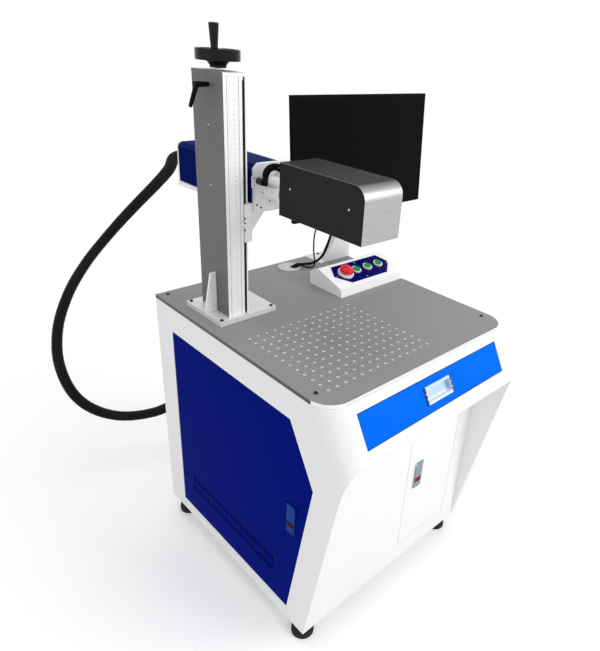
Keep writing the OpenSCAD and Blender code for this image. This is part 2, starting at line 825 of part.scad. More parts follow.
module front_frame() place() color("gainsboro") difference() {
    union() {
        difference() {
            intersection() {
                union() {
                    apron_body(0, 0, cheek_z - corner_r, cab_top);
                    along_x(-side_x, side_x) side_outline(0);
                }
                along_x(-side_x - over, side_x + over) polygon([[lower_y(foot_h), foot_h],
                    [lower_y(foot_h) + lower_skin, foot_h], [lower_y(cab_top) + lower_skin, cab_top],
                    [lower_y(cab_top), cab_top]]);
            }
            block([-recess_x, belly_y - over, foot_h - over], [recess_x, rear_y, soffit_z]);
        }
        // Inner faces of the two wings
        for (x = [-recess_x - sheet, recess_x])
            along_x(x, x + sheet) polygon([[door_y, foot_h], [door_y + sheet, foot_h],
                [door_y + sheet, soffit_z + sheet], [lower_y(soffit_z + sheet), soffit_z + sheet]]);
        // Soffit and the back of the recess
        along_x(-recess_x, recess_x) polygon([[lower_y(soffit_z), soffit_z], [door_y + sheet, soffit_z],
            [door_y + sheet, soffit_z + sheet], [lower_y(soffit_z + sheet), soffit_z + sheet]]);
        block([-recess_x, door_y, foot_h], [recess_x, door_y + sheet, soffit_z]);
        for (z = [door_z + door_h + door_gap + seat_gap, door_z - door_gap - seat_gap - hinge_tab])
            block([door_pin_x - hinge_tab / 2, door_y + sheet, z],
                [door_pin_x + hinge_tab / 2, door_y + sheet + hinge_lug, z + hinge_tab]);
    }
    block([door_x - door_gap, door_y - over, door_z - door_gap],
        [door_x + door_w + door_gap, door_y + sheet + over, door_z + door_h + door_gap]);
    translate([door_pin_x, door_y + hinge_deep, door_z - door_gap - seat_gap - hinge_tab - over])
        cylinder(r = hinge_r + run_gap, h = door_h + 2 * (door_gap + seat_gap + hinge_tab + over));
}

module levelling_feet() place() color("dimgray") for (p = foot_spots) translate([p.x, p.y, 0]) {
    rotate_extrude() polygon([[0, 0], [foot_r, 0], [foot_r, foot_pad_h], [foot_neck_r, foot_neck_h],
        [0, foot_neck_h]]);
    translate([0, 0, foot_neck_h]) cylinder(r = foot_neck_r, h = foot_nut_h, $fn = 6);
    cylinder(r = stud_r, h = foot_h + 2 * foot_boss_h);
}

module worktop() place() color("darkgray") difference() {
    translate([0, 0, cab_top]) linear_extrude(table_t) {
        translate([-side_x, front_y + corner_r]) square([cab_w, cab_d - corner_r]);
        translate([-side_x + corner_r, front_y]) square([cab_w - 2 * corner_r, cab_d]);
        for (x = [corner_r - side_x, side_x - corner_r])
            translate([x, front_y + corner_r]) circle(r = corner_r, $fn = 128);
    }
    for (i = [0 : grid_nx - 1]) for (k = [0 : grid_ny - 1])
        translate([grid_x + (i - (grid_nx - 1) / 2) * grid_pitch, grid_y + (k - (grid_ny - 1) / 2) * grid_pitch,
            cab_top - over]) cylinder(r = grid_r, h = table_t + 2 * over, $fn = 24);
    for (p = concat(table_bolts, base_bolts, stand_bolts))
        translate([p.x, p.y, cab_top - over]) cylinder(r = bolt_r, h = table_t + 2 * over, $fn = 24);
    translate([grommet_x, grommet_y, cab_top - over]) cylinder(r = grommet_sleeve_r, h = table_t + 2 * over);
}

// A button-head screw whose head stands on the height z
module bolt(z) {
    translate([0, 0, z]) cylinder(r = bolt_head_r, h = bolt_head_h);
    translate([0, 0, z - bolt_l]) cylinder(r = bolt_r - run_gap, h = bolt_l + slice);
}

module cap_screws() place() color("silver") {
    for (p = table_bolts) translate(p) bolt(table_z);
    for (p = base_bolts) translate(p) bolt(table_z + base_t);
    for (p = stand_bolts) translate(p) bolt(table_z + stand_t);
}

module column_base() place() color("silver") difference() {
    block([base_x, base_y, table_z], [base_x + base_w, base_y + base_d, col_z]);
    for (p = base_bolts) translate([p.x, p.y, table_z - over]) cylinder(r = bolt_r, h = base_t + 2 * over);
    translate([col_x, col_y, col_z - pivot_d]) cylinder(r = pivot_r + run_gap, h = pivot_d + over);
}

module column_profile() place() color("silver") difference() {
    translate([0, 0, col_z]) linear_extrude(col_h) difference() {
        translate([col_left, col_front]) square([col_w, col_d]);
        translate([col_left + col_wall, col_front + col_wall])
            square([col_w - 2 * col_wall, col_d - 2 * col_wall]);
        translate([col_x, col_y - nut_slot_w / 2]) square([col_w, nut_slot_w]);
        for (y = [col_front - over, col_rear - lip_slot_d])
            translate([col_right - lip_slot_in - lip_slot_w, y]) square([lip_slot_w, lip_slot_d + over]);
        for (x = line_spots) for (y = [col_front - over, col_rear - line_d])
            translate([col_x + x - line_d / 2, y]) square([line_d, line_d + over]);
    }
    // Bore of the clamp stud and the two marks above the lever's reach
    translate([col_left - over, clamp_y, clamp_z]) rotate([0, 90, 0])
        cylinder(r = clamp_stud_r + run_gap, h = col_wall + 2 * over);
    for (d = mark_drops) translate([col_left - over, col_y, col_top - d]) rotate([0, 90, 0])
        cylinder(r = mark_r, h = line_d + over);
}

module column_cap() place() color("gainsboro") difference() {
    block([col_left - cap_over, col_front - cap_over, col_top],
        [col_right + cap_over, col_rear + cap_over, cap_top_z]);
    translate([col_x, col_y, col_top - over]) cylinder(r = journal_r + run_gap, h = cap_t + 2 * over);
}

module column_gusset() place() color("silver") along_y(clamp_y - gusset_t / 2, clamp_y + gusset_t / 2)
    polygon([[base_x, col_z], [col_left, col_z], [col_left, col_z + gusset_h],
        [col_left - gusset_top_w, col_z + gusset_h], [base_x, col_z + gusset_t]]);

module lead_screw() place() color("silver") translate([col_x, col_y, 0]) {
    translate([0, 0, col_z - pivot_d + seat_gap]) cylinder(r = pivot_r, h = pivot_d);
    translate([0, 0, col_z + seat_gap]) cylinder(r = screw_r, h = col_h - 2 * seat_gap);
    translate([0, 0, col_top - 2 * seat_gap])
        cylinder(r = journal_r, h = 2 * seat_gap + cap_t + wheel_web_up - wheel_skin);
}

module handwheel() place() color("black") translate([col_x, col_y, cap_top_z]) {
    difference() {
        rotate_extrude($fn = 128) difference() {
            union() {
                polygon([[0, wheel_hub_up], [wheel_hub_r, wheel_hub_up], [wheel_hub_r, wheel_neck_up],
                    [wheel_neck_r, wheel_low_up], [wheel_r - wheel_round, wheel_low_up],
                    [wheel_r - wheel_round, wheel_high_up], [0, wheel_high_up]]);
                translate([wheel_r - wheel_round, wheel_low_up + wheel_round]) circle(r = wheel_round);
                translate([wheel_r - wheel_round, wheel_high_up - wheel_round]) circle(r = wheel_round);
                translate([wheel_r - 2 * wheel_round, wheel_low_up + wheel_round])
                    square([2 * wheel_round, wheel_high_up - wheel_low_up - 2 * wheel_round]);
            }
            translate([wheel_boss_r, wheel_web_up])
                square([wheel_r - wheel_rim_w - wheel_boss_r, wheel_high_up]);
        }
        translate([0, 0, wheel_hub_up - over])
            cylinder(r = journal_r, h = over + wheel_web_up - wheel_skin - wheel_hub_up);
    }
    rotate([0, 0, crank_angle]) translate([crank_r, 0, wheel_web_up - wheel_skin])
        cylinder(r = crank_pin_r, h = wheel_skin + crank_l - 2 * crank_skin);
}

module crank_handle() place() color("black") translate([col_x, col_y, cap_top_z + wheel_web_up + seat_gap])
    rotate([0, 0, crank_angle]) translate([crank_r, 0, 0]) difference() {
        rotate_extrude() {
            polygon([[0, 0], [crank_base_r, 0], [crank_top_r, crank_l - crank_round],
                [crank_top_r - crank_round, crank_l], [0, crank_l]]);
            translate([crank_top_r - crank_round, crank_l - crank_round]) circle(r = crank_round);
        }
        translate([0, 0, -over]) cylinder(r = crank_pin_r + run_gap, h = over + crank_l - crank_skin);
    }

module lock_lever() place() color("dimgray") translate([col_left, clamp_y, clamp_z]) {
    // Hub along -X with its stud, narrower towards the column
    rotate([0, -90, 0]) rotate_extrude() polygon([[0, -col_wall], [clamp_stud_r, -col_wall], [clamp_stud_r, seat_gap],
        [clamp_foot_r, seat_gap], [clamp_r, clamp_out - clamp_head_l], [clamp_r, clamp_out], [0, clamp_out]]);
    // Arm, down and to the rear
    translate([clamp_r - clamp_out, 0, 0]) rotate([180 + lever_angle, 0, 0]) {
        cylinder(r1 = lever_r, r2 = lever_end_r, h = lever_l);
        translate([0, 0, lever_l]) sphere(r = lever_end_r);
    }
}

module slider() place() color("silver") {
    block([slider_x, col_front - seat_gap - lip_t, slider_z],
        [slider_x + slider_t, col_rear + seat_gap + lip_t, slider_z + slider_h]);
    for (s = [0, 1]) translate([0, col_y, 0]) mirror([0, s, 0]) {
        block([slider_x - lip_reach, -col_d / 2 - seat_gap - lip_t, slider_z],
            [slider_x, -col_d / 2 - seat_gap, slider_z + slider_h]);
        block([col_right - lip_slot_in - lip_slot_w + slide_gap, -col_d / 2 - seat_gap, slider_z],
            [col_right - lip_slot_in - slide_gap, -col_d / 2 + lip_slot_d - slide_gap, slider_z + slider_h]);
    }
    // Pointer on the front lip, towards the scale
    along_y(col_front - seat_gap - lip_t - pointer_t, col_front - seat_gap - lip_t)
        polygon([[slider_x, nut_z + pointer_h / 2], [slider_x - lip_reach, nut_z + pointer_h / 2],
            [slider_x - lip_reach - pointer_w, nut_z], [slider_x - lip_reach, nut_z - pointer_h / 2],
            [slider_x, nut_z - pointer_h / 2]]);
}

module lead_nut() place() color("darkgoldenrod") difference() {
    union() {
        block([col_x - nut_w / 2, col_y - nut_w / 2, nut_z - nut_h / 2],
            [col_x + nut_w / 2, col_y + nut_w / 2, nut_z + nut_h / 2]);
        block([col_x, col_y - nut_arm / 2, nut_z - nut_h / 2],
            [slider_x, col_y + nut_arm / 2, nut_z + nut_h / 2]);
    }
    translate([col_x, col_y, nut_z - nut_h / 2 - over])
        cylinder(r = screw_r + run_gap, h = nut_h + 2 * over);
}

module carriage_bracket() place() color("gainsboro") {
    block([bracket_x, house_y, slider_z], [house_x, col_rear + lip_t, slider_z + slider_h]);
    block([bracket_x, house_y, shelf_z], [house_x + house_w, house_end, house_z]);
    for (y = [house_y, col_rear + lip_t - rib_t])
        along_y(y, y + rib_t) polygon([[bracket_x, shelf_z], [bracket_x + rib_w, shelf_z],
            [bracket_x + lip_t, shelf_z - rib_h], [bracket_x, shelf_z - rib_h]]);
}

// Outline of the housing in X and Z, its walls moved in by g
module house_outline(g) {
    polygon([[house_x + g, house_z + g], [house_x + house_w - g, house_z + g],
        [house_x + house_w - g, house_z + house_w - house_bevel],
        [house_x + house_w - house_bevel, house_z + house_w - g],
        [house_x + house_bevel, house_z + house_w - g], [house_x + g, house_z + house_w - house_bevel]]);
}

module laser_housing() place() color("navy") along_y(house_y, house_end) difference() {
    house_outline(0);
    house_outline(house_wall);
}

module housing_rear_plate() place() color("silver") difference() {
    along_y(house_end, house_end + rear_plate_t) {
        translate([house_x, shelf_z + house_bevel]) square([house_w, house_w + shelf_t - 2 * house_bevel]);
        translate([house_x + house_bevel, shelf_z]) square([house_w - 2 * house_bevel, house_w + shelf_t]);
        for (x = [house_x + house_bevel, house_x + house_w - house_bevel])
            for (z = [shelf_z + house_bevel, house_z + house_w - house_bevel])
                translate([x, z]) circle(r = house_bevel);
    }
    rod_y(house_mid_x, hose_z, hose_stub_r, house_end - over, house_end + rear_plate_t + over);
}

module housing_flange() place() color("silver") difference() {
    union() {
        along_y(flange_y, house_y) polygon([[house_x, house_z - flange_low],
            [house_x + house_w, house_z - flange_low], [house_x + house_w, house_z + house_w + flange_high],
            [house_x + flange_bevel, house_z + house_w + flange_high],
            [house_x, house_z + house_w + flange_high - flange_bevel]]);
        rod_y(beam_x, beam_z, ring_r, flange_y - ring_t, flange_y);
        rod_y(gland_x, gland_z, gland_r, flange_y - gland_l, flange_y);
    }
    rod_y(beam_x, beam_z, tube_bore_r, flange_y - ring_t - over, house_y + over);
}

module beam_tube() place() color("silver") difference() {
    rod_y(beam_x, beam_z, tube_r, head_y, flange_y - ring_t);
    rod_y(beam_x, beam_z, tube_bore_r, head_y - over, flange_y - ring_t + over);
}

module laser_module() place() color("dimgray") {
    block([house_x + module_gap, house_y + module_gap, house_z + house_wall],
        [house_x + house_w - module_gap, house_end - 3 * module_gap, house_z + house_wall + module_h]);
    rod_y(beam_x, beam_z, tube_bore_r - over, house_y, house_y + module_gap);
}

module housing_hose_gland() place() color("dimgray") difference() {
    union() {
        rod_y(house_mid_x, hose_z, hose_ring_r, house_end + rear_plate_t, house_end + rear_plate_t + hose_ring_l);
        rod_y(house_mid_x, hose_z, hose_stub_r, house_end - hose_ring_l, house_end + rear_plate_t);
    }
    rod_y(house_mid_x, hose_z, hose_stub_r - gland_wall, house_end - hose_ring_l - over,
        house_end + rear_plate_t + hose_ring_l + over);
}

module rear_glands() place() color("dimgray") {
    difference() {
        union() {
            rod_y(hose_end_x, hose_end_z, hose_ring_r, rear_y, rear_y + hose_ring_l);
            rod_y(hose_end_x, hose_end_z, hose_stub_r, rear_y - sheet - hose_ring_l, rear_y);
        }
        rod_y(hose_end_x, hose_end_z, hose_stub_r - gland_wall, rear_y - sheet - hose_ring_l - over,
            rear_y + hose_ring_l + over);
    }
    difference() {
        union() {
            rod_y(mains_x, mains_z, mains_r, rear_y, rear_y + mains_l);
            rod_y(mains_x, mains_z, mains_r - gland_wall, rear_y - mains_l / 2, rear_y);
        }
        rod_y(mains_x, mains_z, mains_bore_r, rear_y - mains_l, rear_y + mains_l + over);
    }
}

module galvo_cables() place() color("black") {
    cable(galvo_route_a, galvo_cable_r, galvo_step, 10);
    cable(galvo_route_b, galvo_cable_r, galvo_step, 10);
}

// Casting of the head: bottom plate, rear wall and the block with the mirrors' passages
module galvo_block() place() color("silver") difference() {
    union() {
        block([head_x + head_wall, head_front + head_wall, head_z],
            [head_x + head_w - head_wall, head_y, head_z + plate_t]);
        block([head_x + head_wall, head_y - rear_wall_t, head_z],
            [head_x + head_w - head_wall, head_y, head_top - head_wall]);
        block([beam_x - galvo_margin, lens_y - galvo_half_d, galvo_low_z],
            [lens_x + galvo_half_d, lens_y + galvo_half_d, galvo_high_z]);
        difference() {
            translate([lens_x, lens_y, head_z])
                cylinder(r = lens_r + plate_t / 2, h = galvo_low_z - head_z + over);
            block([head_x + head_w - head_wall, head_front, head_z - over],
                [head_x + 2 * head_w, head_y, head_top]);
        }
    }
    translate([lens_x, lens_y, head_z - over]) cylinder(r = lens_r, h = lens_up + over);
    translate([lens_x, lens_y, head_z]) cylinder(r = beam_bore_r + plate_t, h = beam_z - head_z);
    rod_y(beam_x, beam_z, beam_bore_r, lens_y, head_y + over);
    translate([beam_x, lens_y, beam_z]) rotate([0, 90, 0]) cylinder(r = beam_bore_r, h = mirror_gap);
    translate([beam_x, lens_y, beam_z - beam_bore_r])
        cylinder(r = beam_bore_r, h = galvo_half_h + beam_bore_r + over);
    rod_y(lens_x, beam_z, beam_bore_r, lens_y - galvo_half_d - over, lens_y + beam_bore_r);
}

module galvo_motors() place() color("dimgray") difference() {
    union() {
        translate([beam_x, lens_y, galvo_high_z]) cylinder(r = motor_flange_r, h = motor_flange_t);
        translate([beam_x, lens_y, galvo_high_z]) cylinder(r = motor_r, h = motor_l_x);
        rod_y(lens_x, beam_z, motor_flange_r, lens_y - galvo_half_d - motor_flange_t, lens_y - galvo_half_d);
        rod_y(lens_x, beam_z, motor_r, lens_y - galvo_half_d - motor_l, lens_y - galvo_half_d);
    }
    translate([beam_x, lens_y, galvo_high_z - over]) cylinder(r = mirror_shaft_r + run_gap, h = mirror_shaft_l);
    rod_y(lens_x, beam_z, mirror_shaft_r + run_gap, lens_y - galvo_half_d - mirror_shaft_l,
        lens_y - galvo_half_d + over);
}

// A scanning mirror on its shaft: the shaft runs up Z, the plate's face looks along X
module scan_mirror(shaft) {
    block([-mirror_t / 2, -mirror_w / 2, -mirror_h / 2], [mirror_t / 2, mirror_w / 2, mirror_h / 2]);
    cylinder(r = mirror_shaft_r, h = shaft);
}

module mirror_x() place() color("gold") translate([beam_x, lens_y, beam_z]) rotate([0, 0, -45])
    scan_mirror(galvo_half_h + mirror_shaft_l / 2);

module mirror_y() place() color("gold") translate([lens_x, lens_y, beam_z]) rotate([90, 0, 0]) rotate([0, 0, 45])
    scan_mirror(galvo_half_d + mirror_shaft_l / 2);

module scan_lens() place() color("dimgray") translate([lens_x, lens_y, 0]) difference() {
    union() {
        translate([0, 0, head_z - lens_flange_t]) cylinder(r = lens_flange_r, h = lens_flange_t);
        translate([0, 0, head_z - slice]) cylinder(r = lens_r, h = lens_up + slice);
    }
    translate([0, 0, head_z - lens_flange_t - over]) cylinder(r = lens_glass_r, h = lens_glass_d + over);
    translate([0, 0, head_z + lens_up - lens_glass_d]) cylinder(r = lens_glass_r, h = lens_glass_d + over);
}

// Side outline of the head cover, its walls moved in by g
module head_outline(g) {
    translate([head_front + g, head_z]) square([head_l - g, head_h - head_r]);
    translate([head_front + head_r, head_z]) square([head_l - head_r, head_h - g]);
    translate([head_front + head_r, head_top - head_r]) circle(r = head_r - g);
}

module head_cover() place() color("dimgray") difference() {
    along_x(head_x, head_x + head_w) head_outline(0);
    translate([0, 0, -over]) along_x(head_x + head_wall, head_x + head_w - head_wall) head_outline(head_wall);
    along_x(head_x + head_wall, head_x + head_w - head_wall) head_outline(head_wall);
    // Seam across the front
    block([head_x - over, head_front - over, cover_seam_z],
        [head_x + head_w + over, head_front + cover_seam_d, cover_seam_z + cover_seam_d]);
}

// Outline of the control box in Y and Z, its walls moved in by g
module box_outline(g) {
    polygon([[box_y + g, box_z - over], [box_y + g, box_z], [box_y + box_lean + g, box_z + box_front_h - g],
        [box_y + box_crest_y, box_z + box_crest_h - g],
        [box_y + box_d + box_lean / 2 - g, box_z + box_rear_h - g], [box_y + box_d - g, box_z],
        [box_y + box_d - g, box_z - over]]);
}

// Local frame on the control box: x across, y up the slope, z out of it, from a place (x, l)
module on_box(x, l) {
    translate([x, box_y + box_lean, box_z + box_front_h]) rotate([box_angle, 0, 0]) translate([0, l, 0]) children();
}

// Bores of the emergency stop and the push buttons, from a height z over the slope
module ports(z, h) {
    on_box(stop_x, stop_l) translate([0, 0, z]) cylinder(r = port_r, h = h);
    for (x = button_xs) on_box(x, button_l) translate([0, 0, z]) cylinder(r = port_r, h = h);
}

module control_box() place() color("whitesmoke") difference() {
    along_x(box_x, box_x + box_w) box_outline(0);
    along_x(box_x + box_wall, box_x + box_w - box_wall) box_outline(box_wall);
    block([box_x - over, box_y - over, box_z - 2 * over],
        [box_x + box_w + over, box_y + box_d + over, box_z]);
    ports(-box_front_h / 2, box_front_h);
}

module control_plate() place() color("navy") difference() {
    on_box(box_x, panel_low) linear_extrude(panel_t)
        polygon([for (s = plate_shares) [s.x * box_w, s.y * (panel_high - panel_low)]]);
    ports(-over, panel_t + 2 * over);
}

module button_bezels() place() color("silver") {
    on_box(stop_x, stop_l) difference() {
        union() {
            translate([0, 0, panel_t]) cylinder(r = collar_r, h = collar_h);
            translate([0, 0, -barrel_l]) cylinder(r = barrel_r, h = barrel_l + panel_t + slice);
        }
        translate([0, 0, -barrel_l - over])
            cylinder(r = stop_stem_r + cap_gap, h = barrel_l + panel_t + collar_h + 2 * over);
    }
    for (x = button_xs) on_box(x, button_l) difference() {
        union() {
            translate([0, 0, panel_t]) cylinder(r = bezel_r, h = bezel_h);
            translate([0, 0, -barrel_l]) cylinder(r = barrel_r, h = barrel_l + panel_t + slice);
        }
        translate([0, 0, -barrel_l / 2]) cylinder(r = cap_r + cap_gap, h = barrel_l + bezel_h + panel_t);
        translate([0, 0, -barrel_l - over]) cylinder(r = button_stem_r + cap_gap, h = barrel_l);
    }
}

module emergency_stop() place() color("crimson") on_box(stop_x, stop_l) translate([0, 0, panel_t + collar_h]) {
    translate([0, 0, -barrel_l - collar_h]) cylinder(r = stop_stem_r, h = barrel_l + collar_h + stop_neck + slice);
    translate([0, 0, stop_neck]) rotate_extrude() {
        square([stop_r, stop_cap_h / 2]);
        intersection() {
            translate([0, stop_cap_h / 2 - stop_r]) circle(r = norm([stop_r, stop_r]) - stop_crown);
            square([stop_r, stop_cap_h]);
        }
    }
}

module green_button(x) {
    on_box(x, button_l) {
        translate([0, 0, panel_t]) cylinder(r = cap_r, h = bezel_h + button_out);
        translate([0, 0, -barrel_l]) cylinder(r = button_stem_r, h = barrel_l + panel_t + slice);
    }
}

module green_button_1() place() color("seagreen") green_button(button_xs[0]);

module green_button_2() place() color("seagreen") green_button(button_xs[1]);

module green_button_3() place() color("seagreen") green_button(button_xs[2]);

// Local frame of the monitor: x across, y backwards, z up its front face
module on_monitor() {
    translate([mon_x, mon_y, mon_z]) rotate([-mon_tilt, 0, 0]) children();
}

module monitor() place() color("black") on_monitor() difference() {
    union() {
        block([-mon_w / 2, 0, 0], [mon_w / 2, mon_t, mon_h]);
        block([-mon_back_w / 2, mon_t, mon_back_z],
            [mon_back_w / 2, mon_t + mon_back_t, mon_back_z + mon_back_h]);
    }
    block([-mon_w / 2 + bezel_w, -over, bezel_low], [mon_w / 2 - bezel_w, screen_d, mon_h - bezel_w]);
}

module monitor_stand() place() color("whitesmoke") {
    difference() {
        block([foot_plate_x, stand_y, table_z],
            [foot_plate_x + foot_plate_w, stand_y + foot_plate_l, table_z + stand_t]);
        for (p = stand_bolts) translate([p.x, p.y, table_z - over]) cylinder(r = bolt_r, h = stand_t + 2 * over);
    }
    // Leaning web with its folded side flanges, cut level where it stands on the foot plate
    intersection() {
        translate([stand_x, stand_y, table_z]) rotate([90 + stand_lean, 0, 0]) {
            translate([0, 0, -stand_t]) linear_extrude(stand_t) web_outline();
            translate([0, 0, -flange_d]) linear_extrude(flange_d) difference() {
                web_outline();
                translate([0, -over]) scale([1 - 2 * stand_t / neck_w, 1, 1]) web_outline();
                translate([0, over]) scale([1 - 2 * stand_t / neck_w, 1, 1]) web_outline();
            }
        }
        block([foot_plate_x, front_y, table_z], [foot_plate_x + foot_plate_w, rear_y, mon_z + mon_h]);
    }
    // Plate behind the monitor, with the holes of its four screws
    translate([stand_x, 0, 0]) on_stand_plate() difference() {
        block([-vesa_w / 2, 0, -stand_t], [vesa_w / 2, stand_t, vesa_h]);
        for (x = [-1, 1]) for (z = [-1, 1])
            translate([x * vesa_pitch / 2, -over, vesa_h / 2 + z * vesa_pitch / 2]) rotate([-90, 0, 0])
                cylinder(r = vesa_hole_r, h = stand_t + 2 * over);
    }
}

module web_outline() {
    polygon([[-stand_w / 2, -flange_d], [stand_w / 2, -flange_d], [stand_w / 2, 0], [neck_w / 2, taper_l],
        [neck_w / 2, web_l], [-neck_w / 2, web_l], [-neck_w / 2, taper_l], [-stand_w / 2, 0]]);
}

module on_stand_plate() {
    translate([0, stand_top_y, stand_top_z]) rotate([-mon_tilt, 0, 0]) children();
}

module monitor_power_cable() place() color("black") cable(power_route, power_r, power_step, 8);

module monitor_signal_cable() place() color("black") cable(signal_route, signal_r, signal_step, 8);

module cable_grommet() place() color("silver") translate([grommet_x, grommet_y, 0]) difference() {
    union() {
        translate([0, 0, table_z]) cylinder(r = grommet_r, h = grommet_t);
        translate([0, 0, cab_top]) cylinder(r = grommet_sleeve_r, h = table_t + slice);
    }
    translate([0, 0, cab_top - over]) cylinder(r = grommet_sleeve_r - grommet_wall, h = table_t + over);
    translate([grommet_slot_x, grommet_slot_y, cab_top])
        cylinder(r = grommet_slot_r, h = table_t + grommet_t + over);
}

module laser_source() place() color("dimgray") translate([source_spot.x, source_spot.y, foot_h + sheet])
    cube(source_size);

module control_computer() place() color("dimgray")
    translate([computer_spot.x, computer_spot.y, foot_h + sheet]) cube(computer_size);

module drawer_slides() place() color("silver") for (s = [0, 1]) mirror([s, 0, 0]) difference() {
    union() {
        block([tray_w / 2 + seat_gap, tray_front_y + rail_front, drawer_mid_z - slide_half_h - rail_wall],
            [slide_x + rail_wall, tray_rear_y, drawer_mid_z + slide_half_h + rail_wall]);
        block([slide_x, tray_front_y + rail_front, drawer_mid_z], [slide_x + rail_wall, tray_rear_y, cab_top]);
    }
    block([tray_w / 2 - over, tray_front_y, drawer_mid_z - slide_half_h],
        [slide_x, tray_rear_y + over, drawer_mid_z + slide_half_h]);
}

module drawer_tray() place() color("gainsboro") difference() {
    union() {
        difference() {
            block([-tray_w / 2, belly_y, tray_low_z], [tray_w / 2, tray_rear_y, tray_low_z + tray_h]);
            block([-tray_w / 2 + sheet, tray_front_y + sheet, tray_low_z + sheet],
                [tray_w / 2 - sheet, tray_rear_y - sheet, tray_low_z + tray_h + over]);
            block([-tray_w / 2 + sheet, belly_y - over, tray_low_z + sheet],
                [tray_w / 2 - sheet, tray_front_y, tray_low_z + tray_h + over]);
        }
        for (x = [-tray_w / 2 - rail_w, tray_w / 2])
            block([x, tray_front_y + rail_front, drawer_mid_z - rail_h / 2],
                [x + rail_w, tray_rear_y, drawer_mid_z + rail_h / 2]);
    }
    // In front of the drawer front's inner face
    on_apron(drawer_mid_z) translate([-tray_w, -tray_w, -sheet]) cube([2 * tray_w, 2 * tray_w, tray_w]);
}

module drawer_front() place() color("dodgerblue") on_apron(drawer_mid_z) difference() {
    translate([-drawer_w / 2, -drawer_h / 2, -sheet]) cube([drawer_w, drawer_h, sheet]);
    translate([-pull_w / 2 + pull_lip, -pull_h / 2 + pull_lip, -sheet - over])
        cube([pull_w - 2 * pull_lip, pull_h - 2 * pull_lip, sheet + 2 * over]);
}

module drawer_pull() place() color("silver") on_apron(drawer_mid_z) difference() {
    union() {
        translate([-pull_w / 2, -pull_h / 2, 0]) cube([pull_w, pull_h, pull_lip]);
        translate([-pull_w / 2 + pull_lip, -pull_h / 2 + pull_lip, -pull_deep])
            cube([pull_w - 2 * pull_lip, pull_h - 2 * pull_lip, pull_deep + slice]);
    }
    translate([-pull_w / 2 + pull_rim, -pull_h / 2 + pull_rim, -pull_deep + pull_lip])
        cube([pull_w - 2 * pull_rim, pull_h - 2 * pull_rim, pull_deep + over]);
}

// A door's hinge pins at its upper and lower edge, with the lugs that hold them
module hinge_pins(h) {
    for (s = [0, 1]) translate([0, 0, s * h]) mirror([0, 0, s]) {
        translate([0, 0, -hinge_pin_out]) cylinder(r = hinge_r, h = hinge_pin_out + hinge_lug);
        cylinder(r = hinge_deep, h = hinge_lug);
    }
}

// The two ears of a latch, with the bores of its pin: x along the pin, z out of the door, from the pin's middle
module latch_ears() {
    for (x = [-latch_w / 2 - seat_gap - latch_ear_w, latch_w / 2 + seat_gap]) difference() {
        translate([x, -latch_barrel_r, -latch_lift])
            cube([latch_ear_w, 2 * latch_barrel_r, 2 * latch_barrel_r + seat_gap]);
        translate([x - over, 0, 0]) rotate([0, 90, 0])
            cylinder(r = latch_pin_r + run_gap, h = latch_ear_w + 2 * over);
    }
}

// A latch's lever: its barrel and pin at the top, its blade down to the push end
module latch_lever() {
    rotate([0, 90, 0]) {
        translate([0, 0, -latch_w / 2]) cylinder(r = latch_barrel_r, h = latch_w);
        translate([0, 0, -latch_w / 2 - latch_ear_w]) cylinder(r = latch_pin_r, h = latch_w + 2 * latch_ear_w);
    }
    translate([-latch_w / 2, -latch_l + latch_barrel_r, -latch_barrel_r])
        cube([latch_w, latch_l - latch_barrel_r, latch_t]);
}

// Frames of the three latches: the pin's middle, x along the pin, y up, z out of the door
module on_front_latch() {
    translate([front_latch_x, door_y - latch_lift, front_latch_z + latch_l]) rotate([90, 0, 0]) children();
}

module on_left_latch() {
    translate([-side_x - latch_lift, side_latch_y, side_latch_z + latch_l]) rotate([90, 0, -90]) children();
}

module on_right_latch() {
    translate([side_x + latch_lift, side_latch_y, side_latch_z + latch_l]) rotate([90, 0, 90]) children();
}

module front_door() place() color("gainsboro") {
    difference() {
        block([door_x, door_y, door_z], [door_x + door_w, door_y + rim_d, door_z + door_h]);
        block([door_x + sheet, door_y + sheet, door_z + sheet],
            [door_x + door_w + over, door_y + rim_d + over, door_z + door_h - sheet]);
        // The folded edges end before the hinge
        block([door_pin_x - rim_d, door_y + sheet, door_z - over],
            [door_x + door_w + over, door_y + rim_d + over, door_z + door_h + over]);
    }
    translate([door_pin_x, door_y + hinge_deep, door_z]) hinge_pins(door_h);
    on_front_latch() latch_ears();
}

module front_latch() place() color("silver") on_front_latch() latch_lever();

// One side door, drawn for the left side
module side_door() {
    difference() {
        union() {
            along_x(-side_x, -side_x + sheet) side_door_outline(0);
            along_x(-side_x, -side_x + rim_d) difference() {
                side_door_outline(0);
                side_door_outline(-sheet);
                translate([side_pin_y - rim_d, side_low_z - over])
                    square([2 * rim_d, side_top_z - side_low_z + 2 * over]);
            }
        }
        for (i = [0 : vent_n - 1]) for (k = [0, 1])
            translate([-side_x - over, vent_front_y + i * vent_pitch, vent_row_z + k * vent_row_step])
                cube([sheet + 2 * over, vent_w, vent_h]);
    }
    translate([-side_x + hinge_deep, side_pin_y, side_low_z]) hinge_pins(side_top_z - side_low_z);
}

module side_door_left() place() color("navy") {
    side_door();
    on_left_latch() latch_ears();
}

module side_latch_left() place() color("silver") on_left_latch() latch_lever();

module side_door_right() place() color("navy") {
    mirror([1, 0, 0]) side_door();
    on_right_latch() latch_ears();
}

module side_latch_right() place() color("silver") on_right_latch() latch_lever();

module corrugated_hose() place() color("dimgray")
    ribbed_hose(hose_route, hose_r, rib_d, rib_pitch, hose_bore_r, 8, hose_bore_step);

